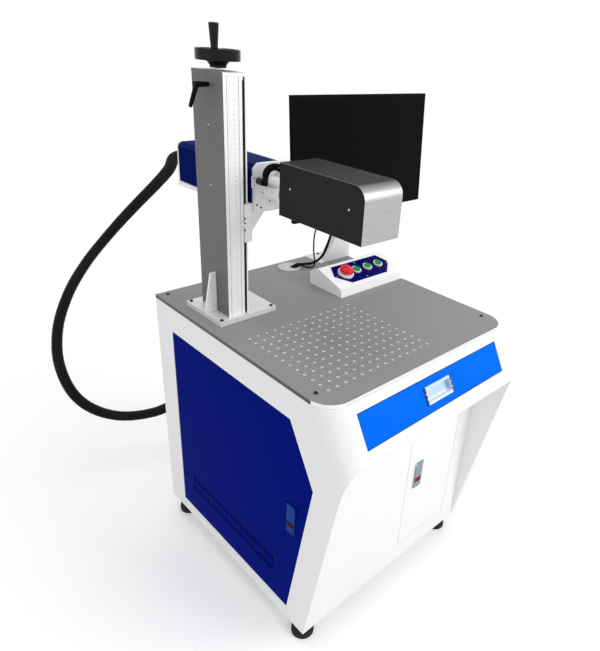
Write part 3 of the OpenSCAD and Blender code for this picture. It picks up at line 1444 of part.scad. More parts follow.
cabinet_base();
cabinet_side_left();
cabinet_side_right();
rear_panel();
front_apron();
front_frame();
levelling_feet();
worktop();
cap_screws();
column_base();
column_profile();
column_cap();
column_gusset();
monitor_stand();
monitor();
monitor_power_cable();
monitor_signal_cable();
cable_grommet();
control_box();
control_plate();
button_bezels();
laser_source();
control_computer();
rear_glands();
drawer_slides();
slider();
carriage_bracket();
laser_housing();
housing_rear_plate();
housing_flange();
beam_tube();
laser_module();
housing_hose_gland();
galvo_cables();
galvo_block();
galvo_motors();
scan_lens();
head_cover();
lead_nut();
lead_screw();
handwheel();
crank_handle();
lock_lever();
drawer_tray();
drawer_front();
drawer_pull();
front_door();
front_latch();
side_door_left();
side_latch_left();
side_door_right();
side_latch_right();
emergency_stop();
green_button_1();
green_button_2();
green_button_3();
mirror_x();
mirror_y();
corrugated_hose();
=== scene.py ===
import json
import math

import bmesh
import bpy
from mathutils import Matrix, Vector


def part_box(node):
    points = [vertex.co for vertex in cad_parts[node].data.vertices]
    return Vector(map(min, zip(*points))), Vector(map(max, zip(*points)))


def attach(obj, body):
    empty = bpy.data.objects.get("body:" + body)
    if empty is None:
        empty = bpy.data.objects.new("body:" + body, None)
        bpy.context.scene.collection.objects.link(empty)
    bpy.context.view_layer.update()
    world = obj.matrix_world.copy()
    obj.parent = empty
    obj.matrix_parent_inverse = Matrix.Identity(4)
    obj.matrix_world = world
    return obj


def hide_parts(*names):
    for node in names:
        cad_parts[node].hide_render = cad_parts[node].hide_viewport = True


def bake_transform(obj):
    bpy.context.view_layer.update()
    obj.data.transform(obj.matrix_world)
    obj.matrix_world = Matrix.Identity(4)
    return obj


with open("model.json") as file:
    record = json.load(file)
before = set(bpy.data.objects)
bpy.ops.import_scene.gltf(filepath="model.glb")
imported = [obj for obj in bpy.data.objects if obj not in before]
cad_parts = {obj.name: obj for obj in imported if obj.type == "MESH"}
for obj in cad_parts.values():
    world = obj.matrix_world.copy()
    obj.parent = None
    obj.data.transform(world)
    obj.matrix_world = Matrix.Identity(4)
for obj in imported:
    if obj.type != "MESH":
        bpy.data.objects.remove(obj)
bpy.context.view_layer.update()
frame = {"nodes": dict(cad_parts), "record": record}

# Camera: the machine is seen from its front left, from above. The lens is a little off centre, as in a cropped
# picture. The picture's size, the focal length and the place of the lens's axis are in pixels.
picture_w, picture_h = 600, 651
focal_length = 563.57
axis_x, axis_y = 343.835, 319.634
camera_data = bpy.data.cameras.new("camera")
camera_data.sensor_width = 36.0
camera_data.lens = focal_length * camera_data.sensor_width / picture_h
camera_data.shift_x = (picture_w / 2 - axis_x) / picture_h
camera_data.shift_y = (axis_y - picture_h / 2) / picture_h
camera_data.clip_end = 60.0
camera = bpy.data.objects.new("camera", camera_data)
camera.location = (-1.06854, -0.99362, 1.41388)
camera.rotation_euler = (1.1096259, -0.0658552, -0.7667172)
bpy.context.scene.collection.objects.link(camera)
bpy.context.scene.camera = camera
bpy.context.scene.view_settings.view_transform = "Standard"

# Helpers that the sections below share: places, cable routes, tubes and finishes. The origin is that of the
# model's frame, in millimetres from the cabinet's middle.
origin_x, origin_y = 115.15, 14.25


def spot(x, y, z):
    """A place given in millimetres about the cabinet's middle, in the frame of the model."""
    return Vector(((x - origin_x) / 1000, (y - origin_y) / 1000, z / 1000))


def laid_line(route, step):
    """Points along a cable's route: a smooth curve through every point, straight at both ends."""
    def heading(i):
        if i <= 1:
            return (route[1] - route[0]).normalized()
        if i >= len(route) - 2:
            return (route[-1] - route[-2]).normalized()
        before, after = route[i] - route[i - 1], route[i + 1] - route[i]
        return (before.normalized() * after.length + after.normalized() * before.length).normalized()

    line = []
    for i in range(len(route) - 1):
        span = (route[i + 1] - route[i]).length
        count = max(1, round(span / step))
        for k in range(count):
            u = k / count
            a, b = u * u * u, u * u
            line.append((2 * a - 3 * b + 1) * route[i] + (a - 2 * b + u) * span * heading(i)
                        + (3 * b - 2 * a) * route[i + 1] + (a - b) * span * heading(i + 1))
    return line + [route[-1]]


def line_length(line):
    return sum((b - a).length for a, b in zip(line, line[1:]))


def shown(name, mesh, body, *materials):
    """Puts a finished mesh on its body as a piece of the machine, or leaves it free when no body is given."""
    piece = bpy.data.objects.new(name, mesh)
    bpy.context.scene.collection.objects.link(piece)
    for material in materials:
        mesh.materials.append(material)
    if body:
        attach(piece, body)
    return piece


def tube(name, line, radii, sides, body, material):
    """A round tube along a line of points, with a radius for each of them."""
    mesh = bmesh.new()
    rings = []
    side = Vector((0.1, 0, 1))
    for i, centre in enumerate(line):
        ahead = (line[min(i + 1, len(line) - 1)] - line[max(i - 1, 0)]).normalized()
        side = (side - side.dot(ahead) * ahead).normalized()
        across = ahead.cross(side)
        rings.append([mesh.verts.new(centre + radii[i] * (math.cos(w) * side + math.sin(w) * across))
                      for w in [2 * math.pi * k / sides for k in range(sides)]])
    for a, b in zip(rings, rings[1:]):
        for k in range(sides):
            mesh.faces.new((a[k], a[(k + 1) % sides], b[(k + 1) % sides], b[k])).smooth = True
    mesh.faces.new(rings[0][::-1])
    mesh.faces.new(rings[-1])
    data = bpy.data.meshes.new(name)
    mesh.to_mesh(data)
    mesh.free()
    return shown(name, data, body, material)


class Wire:
    """A value on its way through a finish. Sums and products of wires add their own nodes."""

    def __init__(self, tree, socket=None):
        self.tree, self.socket = tree, socket

    def node(self, kind, settings={}, sockets={}, out=0):
        made = self.tree.nodes.new("ShaderNode" + kind)
        for key, value in settings.items():
            if key == "stops":
                ramp = made.color_ramp
                while len(ramp.elements) < len(value):
                    ramp.elements.new(0.5)
                for element, (place, colour) in zip(ramp.elements, value):
                    element.position, element.color = place, colour
            else:
                setattr(made, key, value)
        for key, value in sockets.items():
            if isinstance(value, Wire):
                self.tree.links.new(value.socket, made.inputs[key])
            else:
                made.inputs[key].default_value = value
        return Wire(self.tree, made.outputs[out])

    def maths(self, operation, a, b):
        return self.node("Math", {"operation": operation}, {0: a, 1: b})

    def __add__(self, other):
        return self.maths("ADD", self, other)

    __radd__ = __add__

    def __mul__(self, other):
        return self.maths("MULTIPLY", self, other)

    __rmul__ = __mul__

    def __sub__(self, other):
        return self.maths("SUBTRACT", self, other)

    def __rsub__(self, other):
        return self.maths("SUBTRACT", other, self)

    def __gt__(self, other):
        return self.maths("GREATER_THAN", self, other)

    def __lt__(self, other):
        return self.maths("LESS_THAN", self, other)

    def __mod__(self, other):
        return self.maths("FLOORED_MODULO", self, other)

    def __abs__(self):
        return self.maths("ABSOLUTE", self, 0.0)

    def along(self, axis):
        return self.node("SeparateXYZ", {}, {"Vector": self}, out=axis)

    def facing(self, axis):
        """How far the surface faces along an axis of the piece."""
        return self.node("TexCoord", out="Normal").along(axis)

    def away(self, place, other=None):
        """How far a place is, or the nearer of two places."""
        distance = self.node("VectorMath", {"operation": "DISTANCE"}, {0: self, 1: place}, out="Value")
        return distance if other is None else self.maths("MINIMUM", distance, self.away(other))


def finish(name, colour, roughness, metallic=0.0, **sockets):
    """A material with its even values set, and the wire of places on the piece, in metres."""
    material = bpy.data.materials.new(name)
    material.use_nodes = True
    shader = material.node_tree.nodes["Principled BSDF"]
    values = {"Base_Color": (*colour, 1.0), "Roughness": roughness, "Metallic": metallic, **sockets}
    for key, value in values.items():
        shader.inputs[key.replace("_", " ")].default_value = value
    material.diffuse_color = (*colour, 1.0)
    return material, Wire(material.node_tree).node("TexCoord", out="Object")


def feed(material, **wires):
    """Leads wires to the sockets of the material's shader."""
    shader = material.node_tree.nodes["Principled BSDF"]
    for key, wire in wires.items():
        material.node_tree.links.new(wire.socket, shader.inputs[key.replace("_", " ")])


def blend(mask, under, over):
    """The colour under, with the colour over where mask is 1."""
    return mask.node("Mix", {"data_type": "RGBA"}, {0: mask, 6: under, 7: over}, out=2)


def noise(place, scale, detail=2.0, stretch=None):
    """A soft noise, with its grain drawn out along the axes whose stretch is small."""
    if stretch:
        place = place.node("Mapping", {}, {"Vector": place, "Scale": stretch})
    return place.node("TexNoise", {}, {"Vector": place, "Scale": scale, "Detail": detail})


def relief(height, strength, depth):
    return height.node("Bump", {}, {"Strength": strength, "Distance": depth, "Height": height})


# Corrugated hose: black ribbed conduit that carries the fibre and the leads from the laser housing to the
# cabinet. It leaves the housing's rear plate, hangs behind and beside the machine and enters the rear panel.
# On the machine its upper end follows the carriage up and down and its lower end stays with the cabinet;
# here it is one fixed mesh on no body.
hose_skin, at = finish("conduit_black", (0.012, 0.012, 0.013), 0.45, Specular_IOR_Level=0.05)
dust = noise(at, 14.0, 4.0)
feed(hose_skin, Base_Color=blend(dust, (0.006, 0.006, 0.007, 1), (0.016, 0.016, 0.017, 1)),
     Roughness=0.36 + dust * 0.2, Normal=relief(noise(at, 900.0), 0.15, 0.0002))
hose_route = [spot(*p) for p in [
    (-138.7, 435.5, 1090.5), (-138.7, 470, 1090.5), (-125, 565, 1070), (-100, 650, 1020), (-100, 735, 960),
    (-140, 825, 870), (-205, 900, 765), (-300, 905, 670), (-385, 865, 590), (-450, 815, 495), (-480, 750, 405),
    (-455, 705, 290), (-360, 670, 200), (-240, 615, 190), (-165, 560, 235), (-125, 465, 290), (-120, 390, 303),
    (-120, 354, 303)]]
hose_r = 0.01725
rib_depth = 0.0016
rib_dips = [0.0, 0.0, 0.55, 1.0, 1.0, 0.55]
rib_step = 0.00131
hose_line = laid_line(hose_route, rib_step)
hose_radii = [hose_r - rib_depth * rib_dips[i % len(rib_dips)] for i in range(len(hose_line))]
hose = tube("hose", hose_line, hose_radii, 28, None, hose_skin)
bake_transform(hose)
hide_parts("corrugated_hose")
line_length(hose_line)

# Monitor cables: a thick mains flex and a thin signal cable, both in black sheath. They come up through the
# worktop's grommet, lie on the worktop and rise behind the monitor to its sockets.
sheath, at = finish("cable_sheath", (0.006, 0.006, 0.006), 0.5, Specular_IOR_Level=0.06)
feed(sheath, Roughness=0.4 + noise(at, 60.0) * 0.2, Normal=relief(noise(at, 700.0), 0.1, 0.0001))
power_route = [
    (103, 287, 735), (103, 287, 764), (108, 286, 774), (120, 283, 777), (134, 280, 775.5), (150, 278, 774),
    (167, 270, 775), (179, 258, 785), (190, 247, 802), (197, 238, 830), (203, 229, 869), (206, 218, 915),
    (206, 213, 945), (206, 213, 966)]
signal_route = [
    (110, 281, 735), (110, 281, 764), (112, 279, 773.5), (120, 271, 777), (130, 262, 774.5), (142, 252, 772),
    (154, 247, 774), (158, 246, 785), (153, 245, 810), (146, 241, 851), (142, 230, 898), (150, 217, 930),
    (165, 212, 948), (168, 211, 966)]
for name, node, route, cable_r, stiffness in (
        ("power_flex", "monitor_power_cable", power_route, 0.004, "medium"),
        ("signal_cable", "monitor_signal_cable", signal_route, 0.0023, "limp")):
    line = laid_line([spot(*p) for p in route], 0.004)
    cable = tube(name, line, [cable_r] * len(line), 16, "machine", sheath)
    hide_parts(node)
    line_length(line)

# Studio: a plain pale floor that keeps the machine's shadow and turns white further out, a white surround, and
# large soft lamps in front, above and at the left.
floor_half = 20
shadow_end, white_start = 0.75, 2.0
daylight = 0.72
floor_mesh = bpy.data.meshes.new("floor")
floor_mesh.from_pydata([(x * floor_half, y * floor_half, 0) for x, y in ((-1, -1), (1, -1), (1, 1), (-1, 1))],
                       [], [(0, 1, 2, 3)])
floor = bpy.data.objects.new("floor", floor_mesh)
bpy.context.scene.collection.objects.link(floor)
floor_paper, at = finish("studio_floor", (0.94, 0.94, 0.94), 0.9, Specular_IOR_Level=0.0, Emission_Strength=1.0)
seen = at.node("LightPath", out="Is Camera Ray")
feed(floor_paper, Emission_Color=blend(seen, (0, 0, 0, 1), (0.16, 0.16, 0.16, 1)))
reflected = at.node("LightPath", out="Is Glossy Ray") + at.node("LightPath", out="Is Transmission Ray")
far = at.node("MapRange", {"interpolation_type": "SMOOTHSTEP"},
              {"Value": at.away((0, 0, 0)), "From Min": shadow_end, "From Max": white_start})
paper_tree = floor_paper.node_tree
mix = far.node("MixShader", {}, {0: far * (seen + reflected)})
paper_tree.links.new(paper_tree.nodes["Principled BSDF"].outputs[0], mix.socket.node.inputs[1])
paper_tree.links.new(far.node("Emission").socket, mix.socket.node.inputs[2])
paper_tree.links.new(mix.socket, paper_tree.nodes["Material Output"].inputs["Surface"])
floor_mesh.materials.append(floor_paper)

world = bpy.data.worlds.new("studio")
world.use_nodes = True
bpy.context.scene.world = world
room = Wire(world.node_tree)
white = room.node("LightPath", out="Is Camera Ray")
mirrored = room.node("LightPath", out="Is Glossy Ray")
clear = room.node("LightPath", out="Is Transmission Ray")
world.node_tree.nodes["Background"].inputs["Color"].default_value = (1, 1, 1, 1)
world.node_tree.links.new((daylight + (white + mirrored + clear) * (1 - daylight)).socket,
                          world.node_tree.nodes["Background"].inputs["Strength"])
for name, place, aim, size, power in (("front_lamp", (1.7, -3.3, 2.6), (0, 0, 0.7), 2.4, 70),
                                      ("top_lamp", (-0.4, 0.4, 3.6), (0, 0, 0.8), 2.2, 22),
                                      ("left_lamp", (-3.4, 0.2, 1.6), (0, 0, 0.7), 2.0, 4)):
    lamp_data = bpy.data.lights.new(name, "AREA")
    lamp_data.size = size
    lamp_data.energy = power
    lamp = bpy.data.objects.new(name, lamp_data)
    lamp.location = place
    lamp.rotation_euler = (Vector(aim) - Vector(place)).to_track_quat("-Z", "Y").to_euler()
    bpy.context.scene.collection.objects.link(lamp)

# Cabinet: floor pan, two side frames, rear panel, sloping front apron and the frame of the front recess, folded
# from 2 mm sheet steel, welded, ground and powder-coated white.
record_bodies = frame["record"]["behaviour"]["bodies"]
carried_by = {node: body for body, nodes in record_bodies.items() for node in nodes}
crease = math.radians(30)
soft_limit = math.radians(32)
blend_limit = math.radians(60)


def eased(node, radius, material, chosen=None, rim=0.0):
    """A part with the light rounding that bending, filing or moulding leaves along its edges, and a chamfer of
    the width rim along those that aren't chosen, such as the mouths of holes."""
    mesh = bmesh.new()
    mesh.from_mesh(frame["nodes"][node].data)
    bmesh.ops.remove_doubles(mesh, verts=mesh.verts, dist=2e-6)
    bmesh.ops.dissolve_limit(mesh, angle_limit=math.radians(0.5), verts=mesh.verts, edges=mesh.edges)
    for face in mesh.faces:
        face.smooth = True
    for edge in mesh.edges:
        edge.smooth = len(edge.link_faces) != 2 or edge.calc_face_angle(0.0) < crease
    sharp = [e for e in mesh.edges if not e.smooth and (chosen is None or chosen(e))]
    if rim:
        level = [e for e in mesh.edges if not e.smooth and abs(e.verts[0].co.z - e.verts[1].co.z) < 1e-5]
        mouths = [e for e in level if not chosen(e)]
        bmesh.ops.bevel(mesh, geom=mouths, offset=rim, offset_type="OFFSET", segments=1, affect="EDGES")
        sharp = [e for e in sharp if e.is_valid]
    made = bmesh.ops.bevel(mesh, geom=sharp, offset=radius, offset_type="OFFSET", segments=2, profile=0.5,
                           affect="EDGES", clamp_overlap=True, harden_normals=False)
    rounded = set(made["faces"])
    mesh.normal_update()
    weighted = {face: face.normal * face.calc_area() for face in mesh.faces}

    def corner_normal(face, corner):
        """The even normal of the flat faces that meet at a corner, so that only the rounding shades softly."""
        around = [f for f in corner.link_faces if f not in rounded]
        limit = soft_limit
        if face in rounded:
            limit = blend_limit
            around = [f for f in around if f.normal.angle(face.normal, math.pi) < limit] or corner.link_faces
        near = [f for f in around if f.normal.angle(face.normal, math.pi) < limit]
        return sum((weighted[f] for f in near), Vector()).normalized()

    normals = [corner_normal(face, loop.vert) for face in mesh.faces for loop in face.loops]
    data = bpy.data.meshes.new(node + "_finished")
    mesh.to_mesh(data)
    mesh.free()
    data.normals_split_custom_set(normals)
    piece = shown(node + "_finished", data, carried_by[node], material)
    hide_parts(node)


def dressed(material, *nodes):
    """Gives parts whose own shape is right their finish."""
    for node in nodes:
        data = frame["nodes"][node].data
        data.materials.clear()
        data.materials.append(material)
        data.shade_smooth()
        data.set_sharp_from_angle(angle=soft_limit)


def powder_coat(name, colour, darker, roughness, gloss=0.3):
    """A sprayed and baked coat with a fine orange-peel skin and a slight cloudiness."""
    coat, at = finish(name, colour, roughness, Specular_IOR_Level=gloss)
    cloud = noise(at, 5.0, 3.0)
    feed(coat, Base_Color=blend(cloud * 0.8, (*colour, 1), (*darker, 1)),
         Roughness=roughness - 0.06 + noise(at, 40.0) * 0.12, Normal=relief(noise(at, 620.0), 0.12, 0.00025))
    return coat


cabinet_white = powder_coat("cabinet_white", (0.89, 0.895, 0.90), (0.85, 0.855, 0.865), 0.42)
for node in ("cabinet_side_left", "cabinet_side_right", "front_apron", "rear_panel", "cabinet_base"):
    eased(node, 0.0006, cabinet_white)
dressed(cabinet_white, "front_frame")

# Levelling feet: black moulded pads with a steel hexagon nut and a threaded stud that screws into the base.
# All that is above the pad is bare steel.
foot_black, at = finish("foot_black", (0.012, 0.012, 0.012), 0.5, Specular_IOR_Level=0.2)
pad_top = 0.0222
steel = at.along("Z") > pad_top
feed(foot_black, Roughness=0.45 + noise(at, 120.0) * 0.2, Metallic=steel,
     Base_Color=blend(steel, (0.012, 0.012, 0.012, 1), (0.30, 0.30, 0.30, 1)),
     Normal=relief(noise(at, 500.0), 0.15, 0.0002))
dressed(foot_black, "levelling_feet")

# Worktop: a 10 mm aluminium plate, sanded and anodised grey, with bright edges, a left edge painted dark as
# painted shade, and a grid of bright holes. Button-head screws with hexagon sockets hold it, the column's base
# plate and the monitor's stand.
plate_grey, at = finish("worktop_plate", (0.285, 0.285, 0.285), 0.5, Specular_IOR_Level=0.35)
cut_face = abs(at.facing("Z")) < 0.85
middle = spot(0, 0, 0)
inner_x, inner_y = 0.3243, 0.3433
inner = (abs(at.along("X") - middle.x) < inner_x) * (abs(at.along("Y") - middle.y) < inner_y)
sanding = noise(at, 60.0, 3.0, (1.0, 14.0, 1.0))
# Cut edges are bright silver, but the edge facing left is painted near black: painted shade.
edge_colour_left_painted_shade = blend((0 - at.facing("X")) > 0.6, (0.86, 0.86, 0.87, 1), (0.10, 0.10, 0.105, 1))
feed(plate_grey, Base_Color=blend(cut_face, blend(sanding, (0.235, 0.235, 0.236, 1), (0.272, 0.272, 0.272, 1)),
                                  blend(inner, edge_colour_left_painted_shade, (0.97, 0.97, 0.97, 1))),
     Metallic=cut_face * (1 - inner) * 0.6, Roughness=0.5 + sanding * 0.1 - cut_face * 0.15,
     Normal=relief(sanding, 0.12, 0.0002))
hole_facet = 0.0022
holes_start_y = spot(0, -330, 0).y


def outline_edge(edge):
    """Tells the plate's outline, with its rounded front corners, from the short facets of its holes."""
    start = edge.verts[0].co
    run = max(abs(v.co.x - start.x) + abs(v.co.y - start.y) for v in edge.verts)
    return run > hole_facet or start.y < holes_start_y


eased("worktop", 0.0009, plate_grey, outline_edge, rim=0.00035)


def add_socket_screw(mesh, foot, out, radius, height):
    """Adds one button head with a hexagon socket, standing on foot and pointing out."""
    out = Vector(out).normalized()
    turn = out.to_track_quat("Z", "Y").to_matrix()
    sides = 24
    profile = ((1, 0, 0), (1, 0.5, 0), (0.9, 0.84, 0), (0.66, 1, 0), (0.5, 1, 6), (0.48, 0.4, 6))

    def ring(r, up, corners):
        places = []
        for k in range(sides):
            w = 2 * math.pi * k / sides
            reach = r
            if corners:
                part = (w + math.pi / corners) % (2 * math.pi / corners) - math.pi / corners
                reach = r * math.cos(math.pi / corners) / math.cos(part)
            places.append(mesh.verts.new(foot + turn @ Vector((reach * math.cos(w), reach * math.sin(w), up))))
        return places

    rings = [ring(radius * share, height * up, corners) for share, up, corners in profile]
    for i, (a, b) in enumerate(zip(rings, rings[1:])):
        for k in range(sides):
            face = mesh.faces.new((a[k], a[(k + 1) % sides], b[(k + 1) % sides], b[k]))
            face.smooth = i in (1, 2)
    mesh.faces.new(rings[-1])
    mesh.faces.new(rings[0][::-1])


def socket_screws(name, feet, out, radius, height, body, material):
    """A group of like screws on one body."""
    mesh = bmesh.new()
    for foot in feet:
        add_socket_screw(mesh, foot, out, radius, height)
    data = bpy.data.meshes.new(name)
    mesh.to_mesh(data)
    mesh.free()
    return shown(name, data, body, material)


screw_steel, at = finish("screw_steel", (0.62, 0.62, 0.62), 0.28, 1.0)
feed(screw_steel, Roughness=0.2 + noise(at, 300.0) * 0.2)
black_screw, at = finish("black_oxide", (0.012, 0.012, 0.012), 0.35, Specular_IOR_Level=0.3)
feed(black_screw, Roughness=0.28 + noise(at, 300.0) * 0.2)
table_z, base_z, stand_plate_z = 768.5, 780.5, 771.5
worktop_screws = socket_screws(
    "worktop_screws", [spot(x, y, table_z) for x, y in ((-299, -279), (-299, 324), (299, -279))]
    + [spot(x, y, base_z) for x in (-284, -134) for y in (86, 228)]
    + [spot(x, 331, stand_plate_z) for x in (247, 293)],
    out=(0, 0, 1), radius=0.0046, height=0.003, body="machine", material=black_screw)
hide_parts("cap_screws")

# Column: a clear-anodised aluminium extrusion on a base plate with a gusset, closed by a cap plate. Its front
# has fine lines, a scale of dots and the slot that the carriage runs in. Screws hold the gusset.
def anodised(name, colour, roughness, grain, metallic=1.0):
    """Clear or tinted anodising over a drawn or brushed surface, whose grain runs along its small axis."""
    skin, at = finish(name, colour, roughness, metallic)
    drawn = noise(at, 120.0, 3.0, grain)
    dull, bright = [c * 0.9 for c in colour], [min(1, c * 1.08) for c in colour]
    feed(skin, Base_Color=blend(drawn, (*dull, 1), (*bright, 1)),
         Roughness=roughness - 0.07 + drawn * 0.14, Normal=relief(drawn, 0.1, 0.0001))
    return skin, at


extrusion, at = finish("column_extrusion", (0.5, 0.5, 0.51), 0.5, 0.35, Specular_IOR_Level=0.15)
across, up = at.along("X"), at.along("Z")
front = (0 - at.facing("Y")) > 0.5
left = (0 - at.facing("X")) > 0.5
drawn = noise(at, 120.0, 3.0, (6.0, 6.0, 0.06))
# Painted shade and highlight: the left faces are painted dark grey and the front faces near white.
shade = blend(left, (0.5, 0.505, 0.51, 1), blend(drawn, (0.145, 0.146, 0.15, 1), (0.175, 0.176, 0.18, 1)))
shade = blend(front, shade, blend(drawn, (0.92, 0.92, 0.925, 1), (0.98, 0.98, 0.985, 1)))
cap_z = 1.324
scale_x, scale_pitch, dot_r = spot(-233.5, 0, 0).x, 0.010, 0.0012
lines_x, lines_out, line_half = spot(-235.5, 0, 0).x, 0.0118, 0.0005
slot_x, slot_half = spot(-209.5, 0, 0).x, 0.0036
bolt_r, bolt_gap_r = 0.0021, 0.0038
below_cap = up < cap_z
dots = below_cap * (abs((up % scale_pitch) - scale_pitch / 2) < dot_r) * (abs(across - scale_x) < dot_r)
lines = abs(abs(across - lines_x) - lines_out) < line_half
shade = blend(front * (dots * 0.55 + lines * 0.2), shade, (0.25, 0.25, 0.26, 1))
# The slot is a black strip painted on the flat front: painted shade standing for its depth.
slot = below_cap * (abs(across - slot_x) < slot_half)
shade = blend(front * slot, shade, (0.012, 0.012, 0.012, 1))
# Pale bolt heads, each with a black ring round it: the ring is painted shade in the gap about the head.
bolt = at.away(spot(-260, 152.3, 1227.8), spot(-260, 152.3, 1095.6))
shade = blend(bolt < bolt_r, blend(bolt < bolt_gap_r, shade, (0.02, 0.02, 0.02, 1)), (0.9, 0.9, 0.9, 1))
feed(extrusion, Base_Color=shade, Metallic=0.35 - front * 0.3, Roughness=0.44 + drawn * 0.14,
     Normal=relief(drawn, 0.1, 0.0001))
eased("column_profile", 0.0012, extrusion)
plate_silver, at = anodised("machined_plate", (0.80, 0.805, 0.81), 0.46, (0.4, 8.0, 4.0), 0.35)
eased("column_base", 0.0005, plate_silver)
eased("column_cap", 0.0005, extrusion)
rib_silver, at = anodised("rib_silver", (0.96, 0.965, 0.97), 0.5, (4.0, 8.0, 0.4), 0.0)
eased("column_gusset", 0.0005, rib_silver)
socket_screws("gusset_screws", [spot(-270.6, 146, 868), spot(-285.4, 146, 806)], out=(-0.92, 0, 0.39),
              radius=0.0022, height=0.0015, body="machine", material=black_screw)

# Column drive: a glossy black moulded handwheel with a turned crank handle on the lead screw, and an
# adjustable clamp lever on the column's left side.
phenolic, at = finish("polished_black", (0.003, 0.003, 0.003), 0.08, Specular_IOR_Level=0.2)
feed(phenolic, Roughness=0.05 + noise(at, 30.0, 3.0) * 0.06)
dressed(phenolic, "handwheel")
lever_black, at = finish("lever_black", (0.004, 0.004, 0.004), 0.42, Specular_IOR_Level=0.06)
feed(lever_black, Roughness=0.36 + noise(at, 90.0) * 0.14, Normal=relief(noise(at, 700.0), 0.12, 0.0002))
dressed(lever_black, "lock_lever")
dressed(phenolic, "crank_handle")
turned_steel, at = anodised("turned_steel", (0.55, 0.55, 0.55), 0.25, (1.0, 1.0, 30.0))
dressed(turned_steel, "lead_screw")

# Carriage: an anodised slider that runs along the column, with a white folded bracket and a rib that carry the
# laser housing. The bronze nut on it rides on the lead screw.
slider_skin, at = anodised("slider_silver", (0.88, 0.885, 0.89), 0.45, (5.0, 5.0, 0.2), 0.25)
eased("slider", 0.0005, slider_skin)
eased("carriage_bracket", 0.0006, cabinet_white)
bronze, at = finish("nut_bronze", (0.45, 0.28, 0.10), 0.35, 1.0)
feed(bronze, Roughness=0.3 + noise(at, 200.0) * 0.15)
dressed(bronze, "lead_nut")
socket_screws("slider_screws", [spot(-213.5, 84.2, z) for z in (998, 1015, 1026)], out=(0, -1, 0),
              radius=0.0022, height=0.0015, body="carriage", material=black_screw)

# Laser housing: a blue-anodised extrusion with bevelled corners, closed by machined plates at both ends. The front
# one is the flange of the beam tube, and carries the gland of the scan head's leads.
housing_blue, at = finish("housing_blue", (0.002, 0.007, 0.10), 0.45, Specular_IOR_Level=0.003)
drawn = noise(at, 120.0, 3.0, (8.0, 0.08, 8.0))
housing_low, housing_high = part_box("laser_housing")
highlight_band_in, highlight_band_half = 0.016, 0.003
inwards = housing_high.x - at.along("X")
side_blue = blend(drawn, (0.0015, 0.006, 0.09, 1), (0.003, 0.009, 0.11, 1))
# Painted light: the top is lighter than the sides, darker near its right edge, with a painted highlight band.
top_blue_painted_light = blend(inwards < highlight_band_in, (0.009, 0.015, 0.11, 1), (0.025, 0.035, 0.15, 1))
top_blue_painted_light = blend(abs(inwards - highlight_band_in) < highlight_band_half, top_blue_painted_light, (0.09, 0.115, 0.27, 1))
feed(housing_blue, Base_Color=blend(at.facing("Z") > 0.4, side_blue, top_blue_painted_light),
     Roughness=0.4 + drawn * 0.12, Normal=relief(drawn, 0.1, 0.0001))
eased("laser_housing", 0.0012, housing_blue)
rear_silver, at = finish("rear_plate_silver", (0.80, 0.805, 0.81), 0.46, 0.35)
milling = noise(at, 120.0, 3.0, (4.0, 8.0, 1.0))
rim_h = 0.03
inner_rim = ((0 - at.facing("Y")) > 0.5) * (at.along("Z") < housing_low.z + rim_h)
feed(rear_silver, Base_Color=blend(inner_rim, blend(milling, (0.72, 0.725, 0.73, 1), (0.84, 0.845, 0.85, 1)),
                                   (0.15, 0.155, 0.16, 1)),
     Roughness=0.4 + milling * 0.12, Normal=relief(milling, 0.1, 0.0001))
dressed(rear_silver, "housing_rear_plate")
flange_silver, at = finish("flange_silver", (0.82, 0.825, 0.83), 0.42, 0.3)
brushing = noise(at, 120.0, 3.0, (4.0, 1.0, 4.0))
gland_reach, flange_face_y = 0.0097, spot(0, 78.7, 0).y
near_gland = at.away(spot(-178.7, 64, 1111.5), spot(-178.7, 74, 1111.5)) < gland_reach
gland = near_gland * (at.along("Y") < flange_face_y)
feed(flange_silver, Base_Color=blend(gland, blend(brushing, (0.76, 0.765, 0.77, 1), (0.86, 0.865, 0.87, 1)),
                                     (0.004, 0.004, 0.004, 1)),
     Metallic=0.3 - gland * 0.3, Roughness=0.38 + brushing * 0.12, Normal=relief(brushing, 0.1, 0.0001))
eased("housing_flange", 0.0005, flange_silver)
tube_silver, at = anodised("tube_silver", (0.88, 0.86, 0.85), 0.3, (0.5, 20.0, 0.5), 0.4)
dressed(tube_silver, "beam_tube")

# Glands: black moulded hose and cable glands, screwed into the housing's rear plate and the cabinet's rear panel.
gland_black, at = finish("gland_black", (0.008, 0.008, 0.008), 0.45, Specular_IOR_Level=0.2)
feed(gland_black, Roughness=0.4 + noise(at, 150.0) * 0.15)
dressed(gland_black, "housing_hose_gland", "rear_glands")

# Inner units: the beam module in the housing, the scan head's motors, and the laser source and the computer on
# the cabinet's floor pan, all in grey coated housings.
module_grey = powder_coat("unit_grey", (0.10, 0.10, 0.105), (0.085, 0.085, 0.09), 0.5)
dressed(module_grey, "laser_module", "laser_source", "control_computer", "galvo_motors")

# Scan head: galvo block with two motors and mirrors, a scan lens below, and a brushed cover folded round them.
# Screws hold the cover, the beam tube's collar, the flange and its small tab. Two black leads come over from the
# flange's gland.
brushed, at = finish("cover_brushed", (0.30, 0.30, 0.31), 0.36, 1.0, Specular_IOR_Level=0.03)
# One brushed sheet with a painted reflection: the front is painted bright silver and the top near black.
ahead = 0 - at.facing("Y")
sideways = abs(at.facing("X"))
streak = noise(at, 260.0, 3.0, (0.03, 3.0, 3.0))
front_painted_reflection = ahead.node("ValToRGB", {"stops": ((0.15, (0, 0, 0, 1)), (0.85, (1, 1, 1, 1)))}, {"Fac": ahead})
side_share = sideways > 0.7
